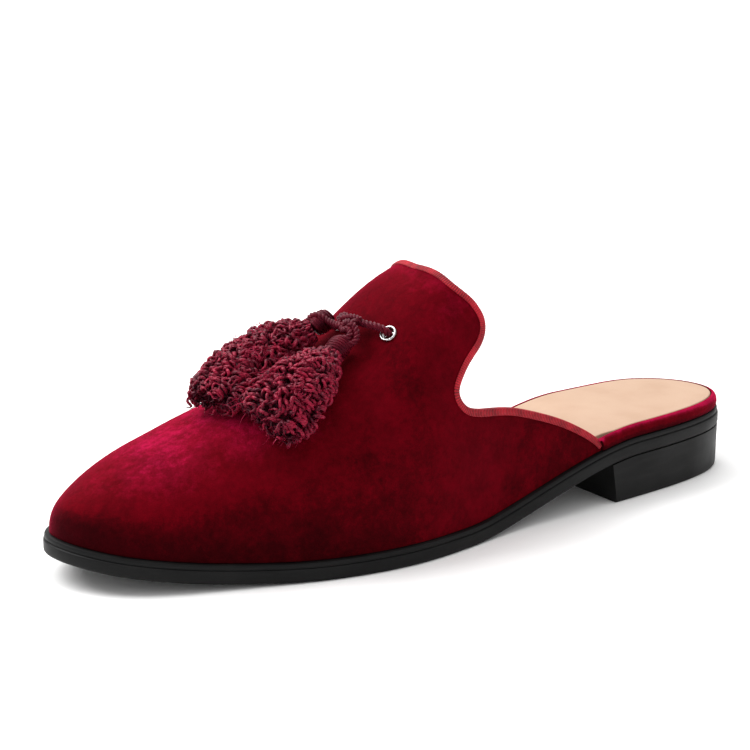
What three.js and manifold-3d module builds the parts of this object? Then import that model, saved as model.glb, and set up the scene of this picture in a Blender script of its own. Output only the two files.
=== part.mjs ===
// A backless velvet slipper for the left foot, with a tasselled cord on its vamp.
// Millimetres. +X points to the toe, +Y to the outer side of the foot, +Z up; the floor is z = 0.
import * as THREE from 'three';
import { mergeVertices } from 'three/addons/utils/BufferGeometryUtils.js';
import loadManifold from 'manifold-3d';

// Driving dimensions
const SOLE_LENGTH = 298;
const FIT_GAP = 0.3; // clearance between pieces that meet
const WELD = 1e-3; // points closer than this are one point
const NUDGE = 1e-4; // angle over which an edge's direction is taken
const SLOPE = { at: 0.002, turn: 1 }; // steps over which the upper's slope is taken

// Outsole and heel
const SEAT_HEIGHT = 17.5; // underside of the outsole over the heel
const WAIST = { from: 0.2, to: 0.51 }; // shares of the length between which the waist comes down
const TOE_SPRING = { from: 0.7, rise: 10 };
const SOLE_EDGE = 7.2; // thickness of the outsole
const SOLE_BEVEL = 0.8;
const LIP = { drop: 2, inset: 0.6 }; // step along the top of the sole edge
const HEEL_END = { top: 0.256, bottom: 0.246 }; // breast of the heel, as shares of the length
const HEEL_INSET = { top: 0.4, bottom: 0.5 };

// Footbed and band round the heel seat
const SEAT_RISE = 5.2; // top of the footbed above the outsole at the heel
const FORE_RISE = 3.6; // the same under the ball and toes
const RISE_CHANGE = { from: 0.3, to: 0.6 };
const INSOLE_INSET = { heel: 3.4, front: 5.6, change: 0.03 }; // change: length of the step, as a share
const INSOLE_BEVEL = 0.5;
const RAND_END = { left: 0.262, right: 0.312 }; // where the band gives way to the quarters

// Upper
const WALL = 2;
const FEATHER_INSET = 2.2; // foot of the wall inside the edge of the sole
const TAPE = { thickness: 0.7, width: 2.3 }; // ribbed binding
const INNER_LAG = { share: 0.05, until: 0.5 }; // the inner quarter ends further forward

// Eyelets, cord and tassels
const EYELETS = { left: { at: 0.5805, turn: 71.8 }, right: { at: 0.5935, turn: 94.8 } };
const EYELET = { bore: 2.0, barrel: 2.4, rim: 3.25, rimHeight: 0.75, seat: 0.4, shoulder: 0.3 };
const CORD = 3.0; // diameter of the twisted cord
const KNOT = { at: 0.6, turn: 86.8, lift: 4.8, ring: 2.1, cord: 2.9, wraps: 2, pitch: 2.7, sides: 6 };
const HEAD = { radius: 4.5, waist: 3.4, length: 8.2 };
const LOCK = { thickness: 3.8, reach: 6.5, rows: 4, around: 5, sides: 4, steps: 3, swirl: 0.12 };

// Facets
const SOLE_STATIONS = 40;
const HEEL_STATIONS = 16;
const RIBS = 64;
const RIB_STEPS = 14;
const ROUND_SEGMENTS = 16;
const CORD_SIDES = 8;
const CORD_STEPS = 7;
const RIB_SAMPLES = 160;
const SKIRT_STATIONS = 10;
const SKIRT_SEGMENTS = 12;

// Plan of the outsole: y of the outer (left) and inner (right) edge, at shares of the length from the heel
const OUTLINE = [
  { at: 0.0, left: 0.0, right: 0.0 },
  { at: 0.03, left: 16.8, right: -20.2 },
  { at: 0.08, left: 24.3, right: -28.6 },
  { at: 0.15, left: 29.3, right: -29.2 },
  { at: 0.24, left: 33.2, right: -27.6 },
  { at: 0.34, left: 36.2, right: -26.6 },
  { at: 0.42, left: 39.2, right: -28.2 },
  { at: 0.5, left: 44.6, right: -33.2 },
  { at: 0.58, left: 49.4, right: -40.4 },
  { at: 0.66, left: 49.4, right: -46.8 },
  { at: 0.73, left: 45.6, right: -49.6 },
  { at: 0.8, left: 39.0, right: -48.0 },
  { at: 0.86, left: 33.0, right: -43.8 },
  { at: 0.92, left: 25.6, right: -36.2 },
  { at: 0.96, left: 17.8, right: -28.0 },
  { at: 0.99, left: 6.0, right: -16.6 },
  { at: 1.0, left: -6.0, right: -6.0 },
];

// Band round the heel seat: inset from the sole's edge, and height as a share of the footbed's rise
const RAND_SECTION = [
  { inset: 0.7, share: 0.4 },
  { inset: 0.9, share: 0.68 },
  { inset: 1.7, share: 0.92 },
  { inset: 2.6, share: 1.0 },
];
const RAND_FOOT = { outer: 1.2, inner: 3.1 };

// Upper: height of the crest over the foot of the wall, and how square the section's arch is
const ARCH = [
  { at: 0.26, crest: 95.5, square: 2.6 },
  { at: 0.4, crest: 97.4, square: 2.7 },
  { at: 0.49, crest: 92.9, square: 2.8 },
  { at: 0.54, crest: 85.2, square: 2.74 },
  { at: 0.6, crest: 69.6, square: 2.63 },
  { at: 0.66, crest: 57.2, square: 2.5 },
  { at: 0.72, crest: 50.0, square: 2.42 },
  { at: 0.8, crest: 41.8, square: 2.32 },
  { at: 0.86, crest: 34.7, square: 2.26 },
  { at: 0.92, crest: 25.7, square: 2.19 },
  { at: 0.96, crest: 17.6, square: 2.14 },
  { at: 0.985, crest: 11.4, square: 2.12 },
  { at: 1.0, crest: 0.0, square: 2.1 },
];

// Top edge of one side, from the sole behind the quarter to the crown of the tongue.
// turn is the angle round the arch: 0 at the foot of the wall, 90 on the crest.
const TOPLINE = [
  { at: 0.272, turn: 0.4 },
  { at: 0.306, turn: 3.7 },
  { at: 0.36, turn: 9.1 },
  { at: 0.425, turn: 15.0 },
  { at: 0.486, turn: 19.3 },
  { at: 0.511, turn: 23.0 },
  { at: 0.519, turn: 28.4 },
  { at: 0.501, turn: 33.5 },
  { at: 0.472, turn: 37.9 },
  { at: 0.463, turn: 43.4 },
  { at: 0.47, turn: 51.5 },
  { at: 0.491, turn: 67.0 },
  { at: 0.502, turn: 90.0 },
];
const TURN_SCALE = 0.9; // millimetres that one degree of turn is worth along the top edge

// Ribs of the upper: a share along the top edge, where the rib of that share stands on the sole,
// and how far it climbs the wall before it runs back to the edge
const RIB_FEET = [
  { share: 0.0, foot: 0.272, lead: 0.0 },
  { share: 0.28, foot: 0.402, lead: 0.0 },
  { share: 0.48, foot: 0.51, lead: 0.0 },
  { share: 0.56, foot: 0.57, lead: 0.5 },
  { share: 0.64, foot: 0.67, lead: 1.0 },
  { share: 0.74, foot: 0.8, lead: 1.0 },
  { share: 0.87, foot: 0.93, lead: 0.6 },
  { share: 1.0, foot: 1.0, lead: 0.0 },
];
const RIB_CROWDING = 0.7; // extra closeness of the rib's steps near the sole, round the toe
const FAN = { from: 0.6, to: 0.92 }; // feet between which the ribs begin to fan round the toe

// Cord routes over the vamp: along the foot, round the arch, and lift off the velvet
const LACES = {
  left: [
    { at: 0.5805, turn: 71.8, lift: 3.1 },
    { at: 0.584, turn: 77, lift: 3.2 },
    { at: 0.589, turn: 81.4, lift: 3.5 },
  ],
  right: [
    { at: 0.5935, turn: 94.8, lift: 3.1 },
    { at: 0.5905, turn: 93.8, lift: 3.1 },
    { at: 0.588, turn: 92.4, lift: 3.1 },
  ],
};

// Tassels: head and skirt of each, and the half width and half height of the skirt along it
const TASSELS = {
  outer: {
    head: { at: 0.6255, turn: 80.4, lift: 6.0 },
    skirt: [
      { at: 0.647, turn: 77.8, lift: 6.6 },
      { at: 0.6815, turn: 72.6, lift: 8.6 },
      { at: 0.7185, turn: 65.5, lift: 9.2 },
      { at: 0.756, turn: 59.7, lift: 7.4 },
    ],
  },
  inner: {
    head: { at: 0.606, turn: 95.6, lift: 6.5 },
    skirt: [
      { at: 0.627, turn: 96.3, lift: 7.0 },
      { at: 0.657, turn: 98.3, lift: 9.0 },
      { at: 0.711, turn: 95.5, lift: 9.8 },
      { at: 0.7795, turn: 85.9, lift: 7.2 },
    ],
  },
};
const SKIRT = [
  { at: 0.0, wide: 4.4, high: 4.0 },
  { at: 0.1, wide: 7.4, high: 6.0 },
  { at: 0.3, wide: 10.6, high: 7.4 },
  { at: 0.6, wide: 13.0, high: 7.8 },
  { at: 0.85, wide: 13.6, high: 7.4 },
  { at: 1.0, wide: 12.2, high: 5.2 },
];

// Barrel of a tassel's head: radius as a share of the largest one, and place as a share of half the length
const HEAD_PROFILE = [
  { radius: 0.52, place: -1 },
  { radius: 0.86, place: -0.62 },
  { radius: 1, place: -0.1 },
  { radius: 0.9, place: 0.5 },
];

// A lock of yarn: how far out of the bell it bows, and how far along its reach
const LOCK_BOW = [
  { out: 0.6, share: 0, swirl: 0 },
  { out: 0.98, share: 0.3, swirl: 0 },
  { out: 1.1, share: 0.75, swirl: 1 },
  { out: 1.16, share: 1, swirl: 1.7 },
];
const LOCK_ARC = { from: -0.1, to: 1.1, firstStation: 2 }; // half turns of the bell that carry locks

const { lerp, clamp, degToRad, radToDeg, smoothstep } = THREE.MathUtils;
const wasm = await loadManifold();
wasm.setup();

/** Angle that spreads the stations of a closed outline evenly round its ends. */
const angleOf = (at) => Math.acos(1 - 2 * clamp(at, 0, 1));
const shareOf = (angle) => (1 - Math.cos(angle)) / 2;
const along = (at) => SOLE_LENGTH * (at - 0.5);

/** Natural cubic spline through one column of a table, over the stations' knots. */
function spline(knots, values) {
  const last = knots.length - 1;
  const bend = new Array(knots.length).fill(0);
  const sweep = new Array(knots.length).fill(0);
  for (let i = 1; i < last; i += 1) {
    const before = knots[i] - knots[i - 1];
    const after = knots[i + 1] - knots[i];
    const pivot = 2 * (before + after) - before * sweep[i - 1];
    const kink = (values[i + 1] - values[i]) / after - (values[i] - values[i - 1]) / before;
    sweep[i] = after / pivot;
    bend[i] = (6 * kink - before * bend[i - 1]) / pivot;
  }
  for (let i = last - 1; i > 0; i -= 1) bend[i] -= sweep[i] * bend[i + 1];
  return (knot) => {
    let i = 1;
    while (i < last && knot > knots[i]) i += 1;
    const span = knots[i] - knots[i - 1];
    const a = (knots[i] - knot) / span;
    const b = 1 - a;
    const curve = ((a ** 3 - a) * bend[i - 1] + (b ** 3 - b) * bend[i]) * (span ** 2 / 6);
    return a * values[i - 1] + b * values[i] + curve;
  };
}

/** A table's column as a function of the share of the length. */
function column(rows, name) {
  const curve = spline(rows.map((row) => angleOf(row.at)), rows.map((row) => row[name]));
  return (at) => curve(angleOf(at));
}

const edgeY = { left: column(OUTLINE, 'left'), right: column(OUTLINE, 'right') };
const crestOf = column(ARCH, 'crest');
const squareOf = column(ARCH, 'square');
const skirtWide = column(SKIRT, 'wide');
const skirtHigh = column(SKIRT, 'high');

/** Underside of the outsole above the floor. */
function underside(at) {
  const waist = SEAT_HEIGHT * (1 - smoothstep(at, WAIST.from, WAIST.to));
  const toe = clamp((at - TOE_SPRING.from) / (1 - TOE_SPRING.from), 0, 1);
  return waist + TOE_SPRING.rise * toe ** 2;
}

const soleTop = (at) => underside(at) + SOLE_EDGE;
const feather = (at) => soleTop(at) + FIT_GAP;
const footbedTop = (at) =>
  soleTop(at) + lerp(SEAT_RISE, FORE_RISE, smoothstep(at, RISE_CHANGE.from, RISE_CHANGE.to));

/** Point on one edge of the plan, moved inward square to the edge. */
function edgePoint(side, at, inset, z) {
  const angle = angleOf(at);
  const low = shareOf(Math.max(angle - NUDGE, 0));
  const high = shareOf(Math.min(angle + NUDGE, Math.PI));
  const tangent = new THREE.Vector2(along(high) - along(low), edgeY[side](high) - edgeY[side](low));
  tangent.normalize();
  const turn = side === 'left' ? 1 : -1;
  const x = along(at) + inset * turn * tangent.y;
  const y = edgeY[side](at) - inset * turn * tangent.x;
  return new THREE.Vector3(x, y, z);
}

/** Closed geometry from corner points, three to a triangle, with the faces turned outward. */
function closedGeometry(corners) {
  const loose = new THREE.BufferGeometry().setFromPoints(corners);
  const welded = mergeVertices(loose, WELD);
  const index = Array.from(welded.index.array);
  const kept = [];
  for (let i = 0; i < index.length; i += 3) {
    const [a, b, c] = index.slice(i, i + 3);
    if (a !== b && b !== c && c !== a) kept.push(a, b, c);
  }
  const point = (i) => new THREE.Vector3().fromBufferAttribute(welded.attributes.position, i);
  let volume = 0;
  for (let i = 0; i < kept.length; i += 3) {
    volume += point(kept[i]).dot(point(kept[i + 1]).cross(point(kept[i + 2])));
  }
  welded.setIndex(volume < 0 ? kept.reverse() : kept);
  return welded;
}

const quad = (a, b, c, d) => [a, b, c, a, c, d];

/** Slab closed above and below: each level holds its left and right edge from heel to toe. */
function slab(levels) {
  const corners = [];
  const loops = levels.map(({ left, right }) => [...left, ...right.slice().reverse()]);
  for (let k = 0; k + 1 < loops.length; k += 1) {
    loops[k].forEach((point, m) => {
      const next = (m + 1) % loops[k].length;
      corners.push(...quad(point, loops[k][next], loops[k + 1][next], loops[k + 1][m]));
    });
  }
  const floor = levels[0];
  const roof = levels[levels.length - 1];
  for (let i = 0; i + 1 < floor.left.length; i += 1) {
    corners.push(...quad(floor.left[i + 1], floor.left[i], floor.right[i], floor.right[i + 1]));
    corners.push(...quad(roof.left[i], roof.left[i + 1], roof.right[i + 1], roof.right[i]));
  }
  return closedGeometry(corners);
}

/** One level of a slab that follows the plan up to a share of the length. */
function level(stations, end, inset, height) {
  const rim = { left: [], right: [] };
  for (let i = 0; i <= stations; i += 1) {
    const at = shareOf((angleOf(end) * i) / stations);
    ['left', 'right'].forEach((side) => {
      const depth = typeof inset === 'function' ? inset(at, side) : inset;
      rim[side].push(edgePoint(side, at, depth, height(at)));
    });
  }
  return rim;
}

/** Solid swept through stations that each hold the same ring of points, capped by the given fans. */
function sweep(stations, capFaces) {
  const corners = [];
  for (let i = 0; i + 1 < stations.length; i += 1) {
    stations[i].forEach((point, m) => {
      const next = (m + 1) % stations[i].length;
      corners.push(...quad(point, stations[i][next], stations[i + 1][next], stations[i + 1][m]));
    });
  }
  const first = stations[0];
  const last = stations[stations.length - 1];
  capFaces.forEach((face) => {
    const [a, b, c, d] = face;
    corners.push(...quad(first[d], first[c], first[b], first[a]));
    corners.push(...quad(last[a], last[b], last[c], last[d]));
  });
  return closedGeometry(corners);
}

/** Solid for joining and cutting, from a closed geometry. */
function solidOf(geometry) {
  const bare = geometry.clone();
  ['normal', 'uv'].forEach((name) => bare.deleteAttribute(name));
  const welded = mergeVertices(bare, WELD);
  return new wasm.Manifold(new wasm.Mesh({
    numProp: 3,
    vertProperties: new Float32Array(welded.attributes.position.array),
    triVerts: new Uint32Array(welded.index.array),
  }));
}

function geometryOf(solid) {
  const { vertProperties, triVerts } = solid.getMesh();
  const geometry = new THREE.BufferGeometry();
  geometry.setAttribute('position', new THREE.BufferAttribute(new Float32Array(vertProperties), 3));
  geometry.setIndex(Array.from(triVerts));
  return geometry;
}

/** Point of the upper's outer face: at a share of the length, turned round the arch in degrees. */
function upperPoint(at, turn) {
  const height = feather(at);
  const left = edgePoint('left', at, FEATHER_INSET, height);
  const right = edgePoint('right', at, FEATHER_INSET, height);
  const power = 2 / squareOf(at);
  const cosine = Math.cos(degToRad(turn));
  const sine = Math.sin(degToRad(turn));
  const across = Math.sign(cosine) * Math.abs(cosine) ** power;
  const point = right.clone().lerp(left, (1 + across) / 2);
  point.z += crestOf(at) * Math.abs(sine) ** power;
  return point;
}

/** Outward direction of the upper's face. */
function upperNormal(at, turn) {
  const forward = upperPoint(at + SLOPE.at, turn).sub(upperPoint(at - SLOPE.at, turn));
  const round = upperPoint(at, turn + SLOPE.turn).sub(upperPoint(at, turn - SLOPE.turn));
  return round.cross(forward).normalize();
}

const offUpper = ({ at, turn, lift }) =>
  upperPoint(at, turn).addScaledVector(upperNormal(at, turn), lift);

const topCurve = new THREE.SplineCurve(
  TOPLINE.map(({ at, turn }) => new THREE.Vector2(at * SOLE_LENGTH, turn * TURN_SCALE)),
);
const ribShares = RIB_FEET.map((row) => row.share);
const ribFoot = spline(ribShares, RIB_FEET.map((row) => angleOf(row.foot)));
const ribLead = spline(ribShares, RIB_FEET.map((row) => row.lead));

/** How much further forward a side's quarter lies, at a share along its top edge. */
const quarterLag = (share, side) =>
  (side === 'right' ? INNER_LAG.share * (1 - smoothstep(share, 0, INNER_LAG.until)) : 0);

/** One rib of the upper's outer face, from the sole to the top edge, in even steps. */
function rib(share, side) {
  const top = topCurve.getPointAt(share);
  const lag = quarterLag(share, side);
  const end = { at: top.x / SOLE_LENGTH + lag, turn: top.y / TURN_SCALE };
  const foot = shareOf(ribFoot(share)) + lag;
  const ease = 1 + clamp(ribLead(share), 0, 1);
  const fan = smoothstep(foot, FAN.from, FAN.to);
  const halfWidth = (at) => (edgeY.left(at) - edgeY.right(at)) / 2;
  const reach = halfWidth(end.at) * Math.cos(degToRad(end.turn));
  const trail = [];
  for (let i = 0; i <= RIB_SAMPLES; i += 1) {
    const way = i / RIB_SAMPLES;
    const at = lerp(foot, end.at, way ** ease);
    const across = clamp(lerp(halfWidth(foot), reach, way) / Math.max(halfWidth(at), WELD), 0, 1);
    const climb = end.turn * (1 - (1 - way) ** ease);
    const turn = lerp(climb, radToDeg(Math.acos(across)), fan);
    trail.push(upperPoint(at, side === 'left' ? turn : 180 - turn));
  }
  const walked = [0];
  trail.forEach((point, i) => {
    if (i > 0) walked.push(walked[i - 1] + point.distanceTo(trail[i - 1]));
  });
  const points = [];
  for (let j = 0, i = 1; j <= RIB_STEPS; j += 1) {
    const wanted = walked[RIB_SAMPLES] * (j / RIB_STEPS) ** (1 + RIB_CROWDING * fan);
    while (i < RIB_SAMPLES && walked[i] < wanted) i += 1;
    const part = (wanted - walked[i - 1]) / (walked[i] - walked[i - 1]);
    points.push(trail[i - 1].clone().lerp(trail[i], part));
  }
  return points;
}

/** Grid of the outer face: ribs from the outer quarter round the toe to the inner quarter. */
function upperGrid() {
  const half = RIBS / 2;
  const grid = [];
  for (let i = 0; i <= RIBS; i += 1) {
    const side = i <= half ? 'left' : 'right';
    grid.push(rib(1 - Math.abs(i - half) / half, side));
  }
  return grid;
}

/** Outward direction at each point of a grid. */
function gridNormals(grid) {
  const pick = (list, i) => list[clamp(i, 0, list.length - 1)];
  return grid.map((ribPoints, i) => ribPoints.map((_, j) => {
    const round = pick(grid, i + 1)[j].clone().sub(pick(grid, i - 1)[j]);
    const up = pick(ribPoints, j + 1).clone().sub(pick(ribPoints, j - 1));
    return up.cross(round).normalize();
  }));
}

const outerFace = upperGrid();
const outerNormals = gridNormals(outerFace);

/** Hollow upper: the outer face, the same face set in by the wall, and the rims between them. */
function upperShell() {
  const innerFace = outerFace.map((points, i) => points.map((point, j) => {
    const inner = point.clone().addScaledVector(outerNormals[i][j], -WALL);
    if (j === 0) inner.z = point.z;
    return inner;
  }));
  const corners = [];
  const [P, Q] = [outerFace, innerFace];
  const top = RIB_STEPS;
  for (let i = 0; i < RIBS; i += 1) {
    for (let j = 0; j < top; j += 1) {
      corners.push(...quad(P[i][j], P[i + 1][j], P[i + 1][j + 1], P[i][j + 1]));
      corners.push(...quad(Q[i][j + 1], Q[i + 1][j + 1], Q[i + 1][j], Q[i][j]));
    }
    corners.push(...quad(P[i + 1][0], P[i][0], Q[i][0], Q[i + 1][0]));
    corners.push(...quad(P[i][top], P[i + 1][top], Q[i + 1][top], Q[i][top]));
  }
  for (let j = 0; j < top; j += 1) {
    corners.push(...quad(P[0][j], P[0][j + 1], Q[0][j + 1], Q[0][j]));
    corners.push(...quad(P[RIBS][j + 1], P[RIBS][j], Q[RIBS][j], Q[RIBS][j + 1]));
  }
  return closedGeometry(corners);
}

/** Tape folded over the top edge: a channel of even thickness that follows the ends of the ribs. */
function bindingTape() {
  const outside = FIT_GAP + TAPE.thickness;
  const inside = -WALL - FIT_GAP - TAPE.thickness;
  const fold = -FIT_GAP - TAPE.thickness;
  const channel = [
    [TAPE.width, FIT_GAP],
    [TAPE.width, outside],
    [-FIT_GAP, outside],
    [fold, FIT_GAP],
    [fold, -WALL - FIT_GAP],
    [-FIT_GAP, inside],
    [TAPE.width, inside],
    [TAPE.width, -WALL - FIT_GAP],
    [-FIT_GAP, -WALL - FIT_GAP],
    [-FIT_GAP, FIT_GAP],
  ];
  const capFaces = [[0, 1, 2, 9], [9, 2, 3, 4], [9, 4, 5, 8], [8, 5, 6, 7]];
  const stations = outerFace.map((points, i) => {
    const edge = points[RIB_STEPS];
    const normal = outerNormals[i][RIB_STEPS];
    const before = outerFace[Math.max(i - 1, 0)][RIB_STEPS];
    const after = outerFace[Math.min(i + 1, RIBS)][RIB_STEPS];
    const inward = normal.clone().cross(after.clone().sub(before)).normalize();
    if (inward.dot(points[RIB_STEPS - 1].clone().sub(edge)) < 0) inward.negate();
    return channel.map(([deep, out]) =>
      edge.clone().addScaledVector(inward, deep).addScaledVector(normal, out));
  });
  const ground = slab([
    level(SOLE_STATIONS, 1, -TAPE.width * 2, () => -SOLE_EDGE),
    level(SOLE_STATIONS, 1, -TAPE.width * 2, feather),
  ]);
  return geometryOf(solidOf(sweep(stations, capFaces)).subtract(solidOf(ground)));
}

/** Band round the heel seat, rounded on its outer side. */
function heelRand() {
  const section = [
    [RAND_FOOT.outer, FIT_GAP],
    ...RAND_SECTION.map(({ inset, share }) => [inset, SEAT_RISE * share]),
    [RAND_FOOT.inner, SEAT_RISE - FIT_GAP],
    [RAND_FOOT.inner, FIT_GAP],
  ];
  const stations = [];
  for (let i = -HEEL_STATIONS; i <= HEEL_STATIONS; i += 1) {
    const side = i < 0 ? 'left' : 'right';
    const at = shareOf((angleOf(RAND_END[side]) * Math.abs(i)) / HEEL_STATIONS);
    stations.push(section.map(([inset, rise]) => edgePoint(side, at, inset, soleTop(at) + rise)));
  }
  return sweep(stations, [[0, 1, 5, 6], [1, 2, 4, 5], [2, 3, 4, 4]]);
}

function outsole() {
  const lipFoot = (at) => soleTop(at) - LIP.drop;
  return slab([
    level(SOLE_STATIONS, 1, SOLE_BEVEL, underside),
    level(SOLE_STATIONS, 1, 0, (at) => underside(at) + SOLE_BEVEL),
    level(SOLE_STATIONS, 1, 0, lipFoot),
    level(SOLE_STATIONS, 1, LIP.inset, (at) => lipFoot(at) + LIP.inset),
    level(SOLE_STATIONS, 1, LIP.inset, soleTop),
  ]);
}

function heelBlock() {
  const top = (at) => underside(at) - FIT_GAP;
  return slab([
    level(HEEL_STATIONS, HEEL_END.bottom, HEEL_INSET.bottom + SOLE_BEVEL, () => 0),
    level(HEEL_STATIONS, HEEL_END.bottom, HEEL_INSET.bottom, () => SOLE_BEVEL),
    level(HEEL_STATIONS, HEEL_END.top, HEEL_INSET.top, top),
  ]);
}

function insole() {
  const depth = (at, side) => {
    const end = RAND_END[side];
    const step = smoothstep(at, end - INSOLE_INSET.change, end);
    return lerp(INSOLE_INSET.heel, INSOLE_INSET.front, step);
  };
  return slab([
    level(SOLE_STATIONS, 1, depth, feather),
    level(SOLE_STATIONS, 1, depth, (at) => footbedTop(at) - INSOLE_BEVEL),
    level(SOLE_STATIONS, 1, (at, side) => depth(at, side) + INSOLE_BEVEL, footbedTop),
  ]);
}

/** Places a geometry whose axis is +Y so that the axis runs along a direction at a point. */
function stand(geometry, point, direction) {
  const up = new THREE.Vector3(0, 1, 0);
  geometry.applyQuaternion(new THREE.Quaternion().setFromUnitVectors(up, direction));
  return geometry.translate(point.x, point.y, point.z);
}

function lathe(profile, segments) {
  const points = profile.map(([radius, height]) => new THREE.Vector2(radius, height));
  return new THREE.LatheGeometry(points, segments);
}

/** Rolled eyelet: a barrel through the wall with a rim on the velvet side. */
function eyelet({ at, turn }) {
  const foot = -WALL - FIT_GAP;
  const shoulder = EYELET.seat + EYELET.shoulder;
  const profile = [
    [EYELET.bore, foot],
    [EYELET.barrel, foot],
    [EYELET.barrel, EYELET.seat],
    [EYELET.rim, EYELET.seat],
    [EYELET.rim, shoulder],
    [(EYELET.rim + EYELET.bore) / 2, EYELET.seat + EYELET.rimHeight],
    [EYELET.bore, shoulder],
    [EYELET.bore, foot],
  ];
  return stand(lathe(profile, ROUND_SEGMENTS), upperPoint(at, turn), upperNormal(at, turn));
}

/** The upper with a hole for each eyelet. */
function upper() {
  const radius = EYELET.barrel + FIT_GAP;
  const depth = WALL * 4;
  let shell = solidOf(upperShell());
  Object.values(EYELETS).forEach(({ at, turn }) => {
    const hole = new THREE.CylinderGeometry(radius, radius, depth, ROUND_SEGMENTS);
    stand(hole, upperPoint(at, turn), upperNormal(at, turn));
    shell = shell.subtract(solidOf(hole));
  });
  return geometryOf(shell);
}

/** Round tube along a smooth route. */
function tube(points, diameter, sides, steps) {
  const section = new THREE.Shape();
  for (let k = 0; k < sides; k += 1) {
    const angle = (2 * Math.PI * k) / sides;
    const [x, y] = [Math.cos(angle), Math.sin(angle)].map((share) => (share * diameter) / 2);
    if (k === 0) section.moveTo(x, y);
    else section.lineTo(x, y);
  }
  section.closePath();
  const extrudePath = new THREE.CatmullRomCurve3(points);
  return new THREE.ExtrudeGeometry(section, { extrudePath, steps, curveSegments: 1 });
}

/** Knot of the cord: wraps lying side by side round a core. */
function knot() {
  const centre = offUpper(KNOT);
  const normal = upperNormal(KNOT.at, KNOT.turn);
  const ahead = offUpper({ ...KNOT, at: KNOT.at + SLOPE.at }).sub(centre);
  const axis = ahead.addScaledVector(normal, -ahead.dot(normal)).normalize();
  const core = new THREE.SphereGeometry(KNOT.ring, CORD_SIDES, CORD_SIDES / 2);
  core.translate(centre.x, centre.y, centre.z);
  let solid = solidOf(core);
  for (let k = 0; k < KNOT.wraps; k += 1) {
    const wrap = new THREE.TorusGeometry(KNOT.ring, KNOT.cord / 2, KNOT.sides, 2 * KNOT.sides);
    wrap.rotateX(Math.PI / 2);
    const place = centre.clone().addScaledVector(axis, (k - (KNOT.wraps - 1) / 2) * KNOT.pitch);
    solid = solid.add(solidOf(stand(wrap, place, axis)));
  }
  return geometryOf(solid);
}

/** Wound head of a tassel: a barrel drawn in at both ends. */
function tasselHead({ head, skirt }) {
  const centre = offUpper(head);
  const axis = offUpper(skirt[0]).sub(centre).normalize();
  const half = HEAD.length / 2;
  const profile = [
    [0, -half],
    ...HEAD_PROFILE.map(({ radius, place }) => [HEAD.radius * radius, half * place]),
    [HEAD.waist, half],
    [0, half],
  ];
  return stand(lathe(profile, SKIRT_SEGMENTS), centre, axis);
}

/** Curly tassel: a flattened bell along its route, with curled locks fused on; grow swells it all over. */
function tasselSkirt({ skirt }, lean, grow = 0) {
  const route = new THREE.CatmullRomCurve3(skirt.map(offUpper));
  const frames = [];
  for (let k = 0; k <= SKIRT_STATIONS; k += 1) {
    const share = k / SKIRT_STATIONS;
    const centre = route.getPointAt(share);
    const along3 = route.getTangentAt(share);
    const row = skirt[Math.round(share * (skirt.length - 1))];
    const up = upperNormal(row.at, row.turn);
    const wide = up.clone().cross(along3).normalize();
    const high = along3.clone().cross(wide).normalize();
    frames.push({ share, centre, along3, wide, high });
  }
  const onBell = ({ share, centre, wide, high }, angle, scale) => centre.clone()
    .addScaledVector(wide, Math.cos(angle) * (skirtWide(share) + grow) * scale)
    .addScaledVector(high, Math.sin(angle) * (skirtHigh(share) + grow) * scale);
  const angleAt = (m, count) => (2 * Math.PI * m) / count;
  const rings = frames.map((frame) =>
    Array.from({ length: SKIRT_SEGMENTS }, (_, m) => onBell(frame, angleAt(m, SKIRT_SEGMENTS), 1)));
  const half = SKIRT_SEGMENTS / 2;
  const capFaces = [];
  for (let m = 0; m < half - 1; m += 1) {
    capFaces.push([m, m + 1, SKIRT_SEGMENTS - 2 - m, SKIRT_SEGMENTS - 1 - m]);
  }
  let solid = solidOf(sweep(rings, capFaces));
  for (let r = 0; r < LOCK.rows; r += 1) {
    const station = lerp(LOCK_ARC.firstStation, SKIRT_STATIONS, r / (LOCK.rows - 1));
    const frame = frames[Math.round(station)];
    for (let m = 0; m < LOCK.around; m += 1) {
      const spread = (m + (r % 2) / 2) / (LOCK.around - 1 / 2);
      const angle = lerp(LOCK_ARC.from, LOCK_ARC.to, spread) * Math.PI;
      const turn = LOCK.swirl * ((r + m) % 2 === 0 ? lean : -lean);
      const bends = LOCK_BOW.map(({ out, share, swirl }) =>
        onBell(frame, angle + turn * swirl, out).addScaledVector(frame.along3, LOCK.reach * share));
      solid = solid.add(solidOf(tube(bends, LOCK.thickness + 2 * grow, LOCK.sides, LOCK.steps)));
    }
  }
  return solid;
}

/** The two skirts lie side by side: the inner one gives way to the outer one. */
function tasselSkirts() {
  const outer = tasselSkirt(TASSELS.outer, 1);
  const room = tasselSkirt(TASSELS.outer, 1, FIT_GAP);
  const pieces = tasselSkirt(TASSELS.inner, -1).subtract(room).decompose();
  const inner = pieces.reduce((best, piece) => (piece.volume() > best.volume() ? piece : best));
  return { outer: geometryOf(outer), inner: geometryOf(inner) };
}

// Finishes
const finish = (color, roughness, metalness = 0) =>
  new THREE.MeshStandardMaterial({ color, roughness, metalness });
const velvet = finish(0x7a0f22, 0.95);
const ribbedTape = finish(0xa01228, 0.8);
const rubber = finish(0x1c1c1c, 0.65);
const tanLeather = finish(0xefcdb0, 0.55);
const silver = finish(0xd8d8d8, 0.25, 1);
const cordThread = finish(0x5e1524, 0.75);

const slipper = new THREE.Group();

/** Adds one named piece. */
function place(name, geometry, material) {
  const mesh = new THREE.Mesh(geometry, material);
  mesh.name = name;
  slipper.add(mesh);
}

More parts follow.
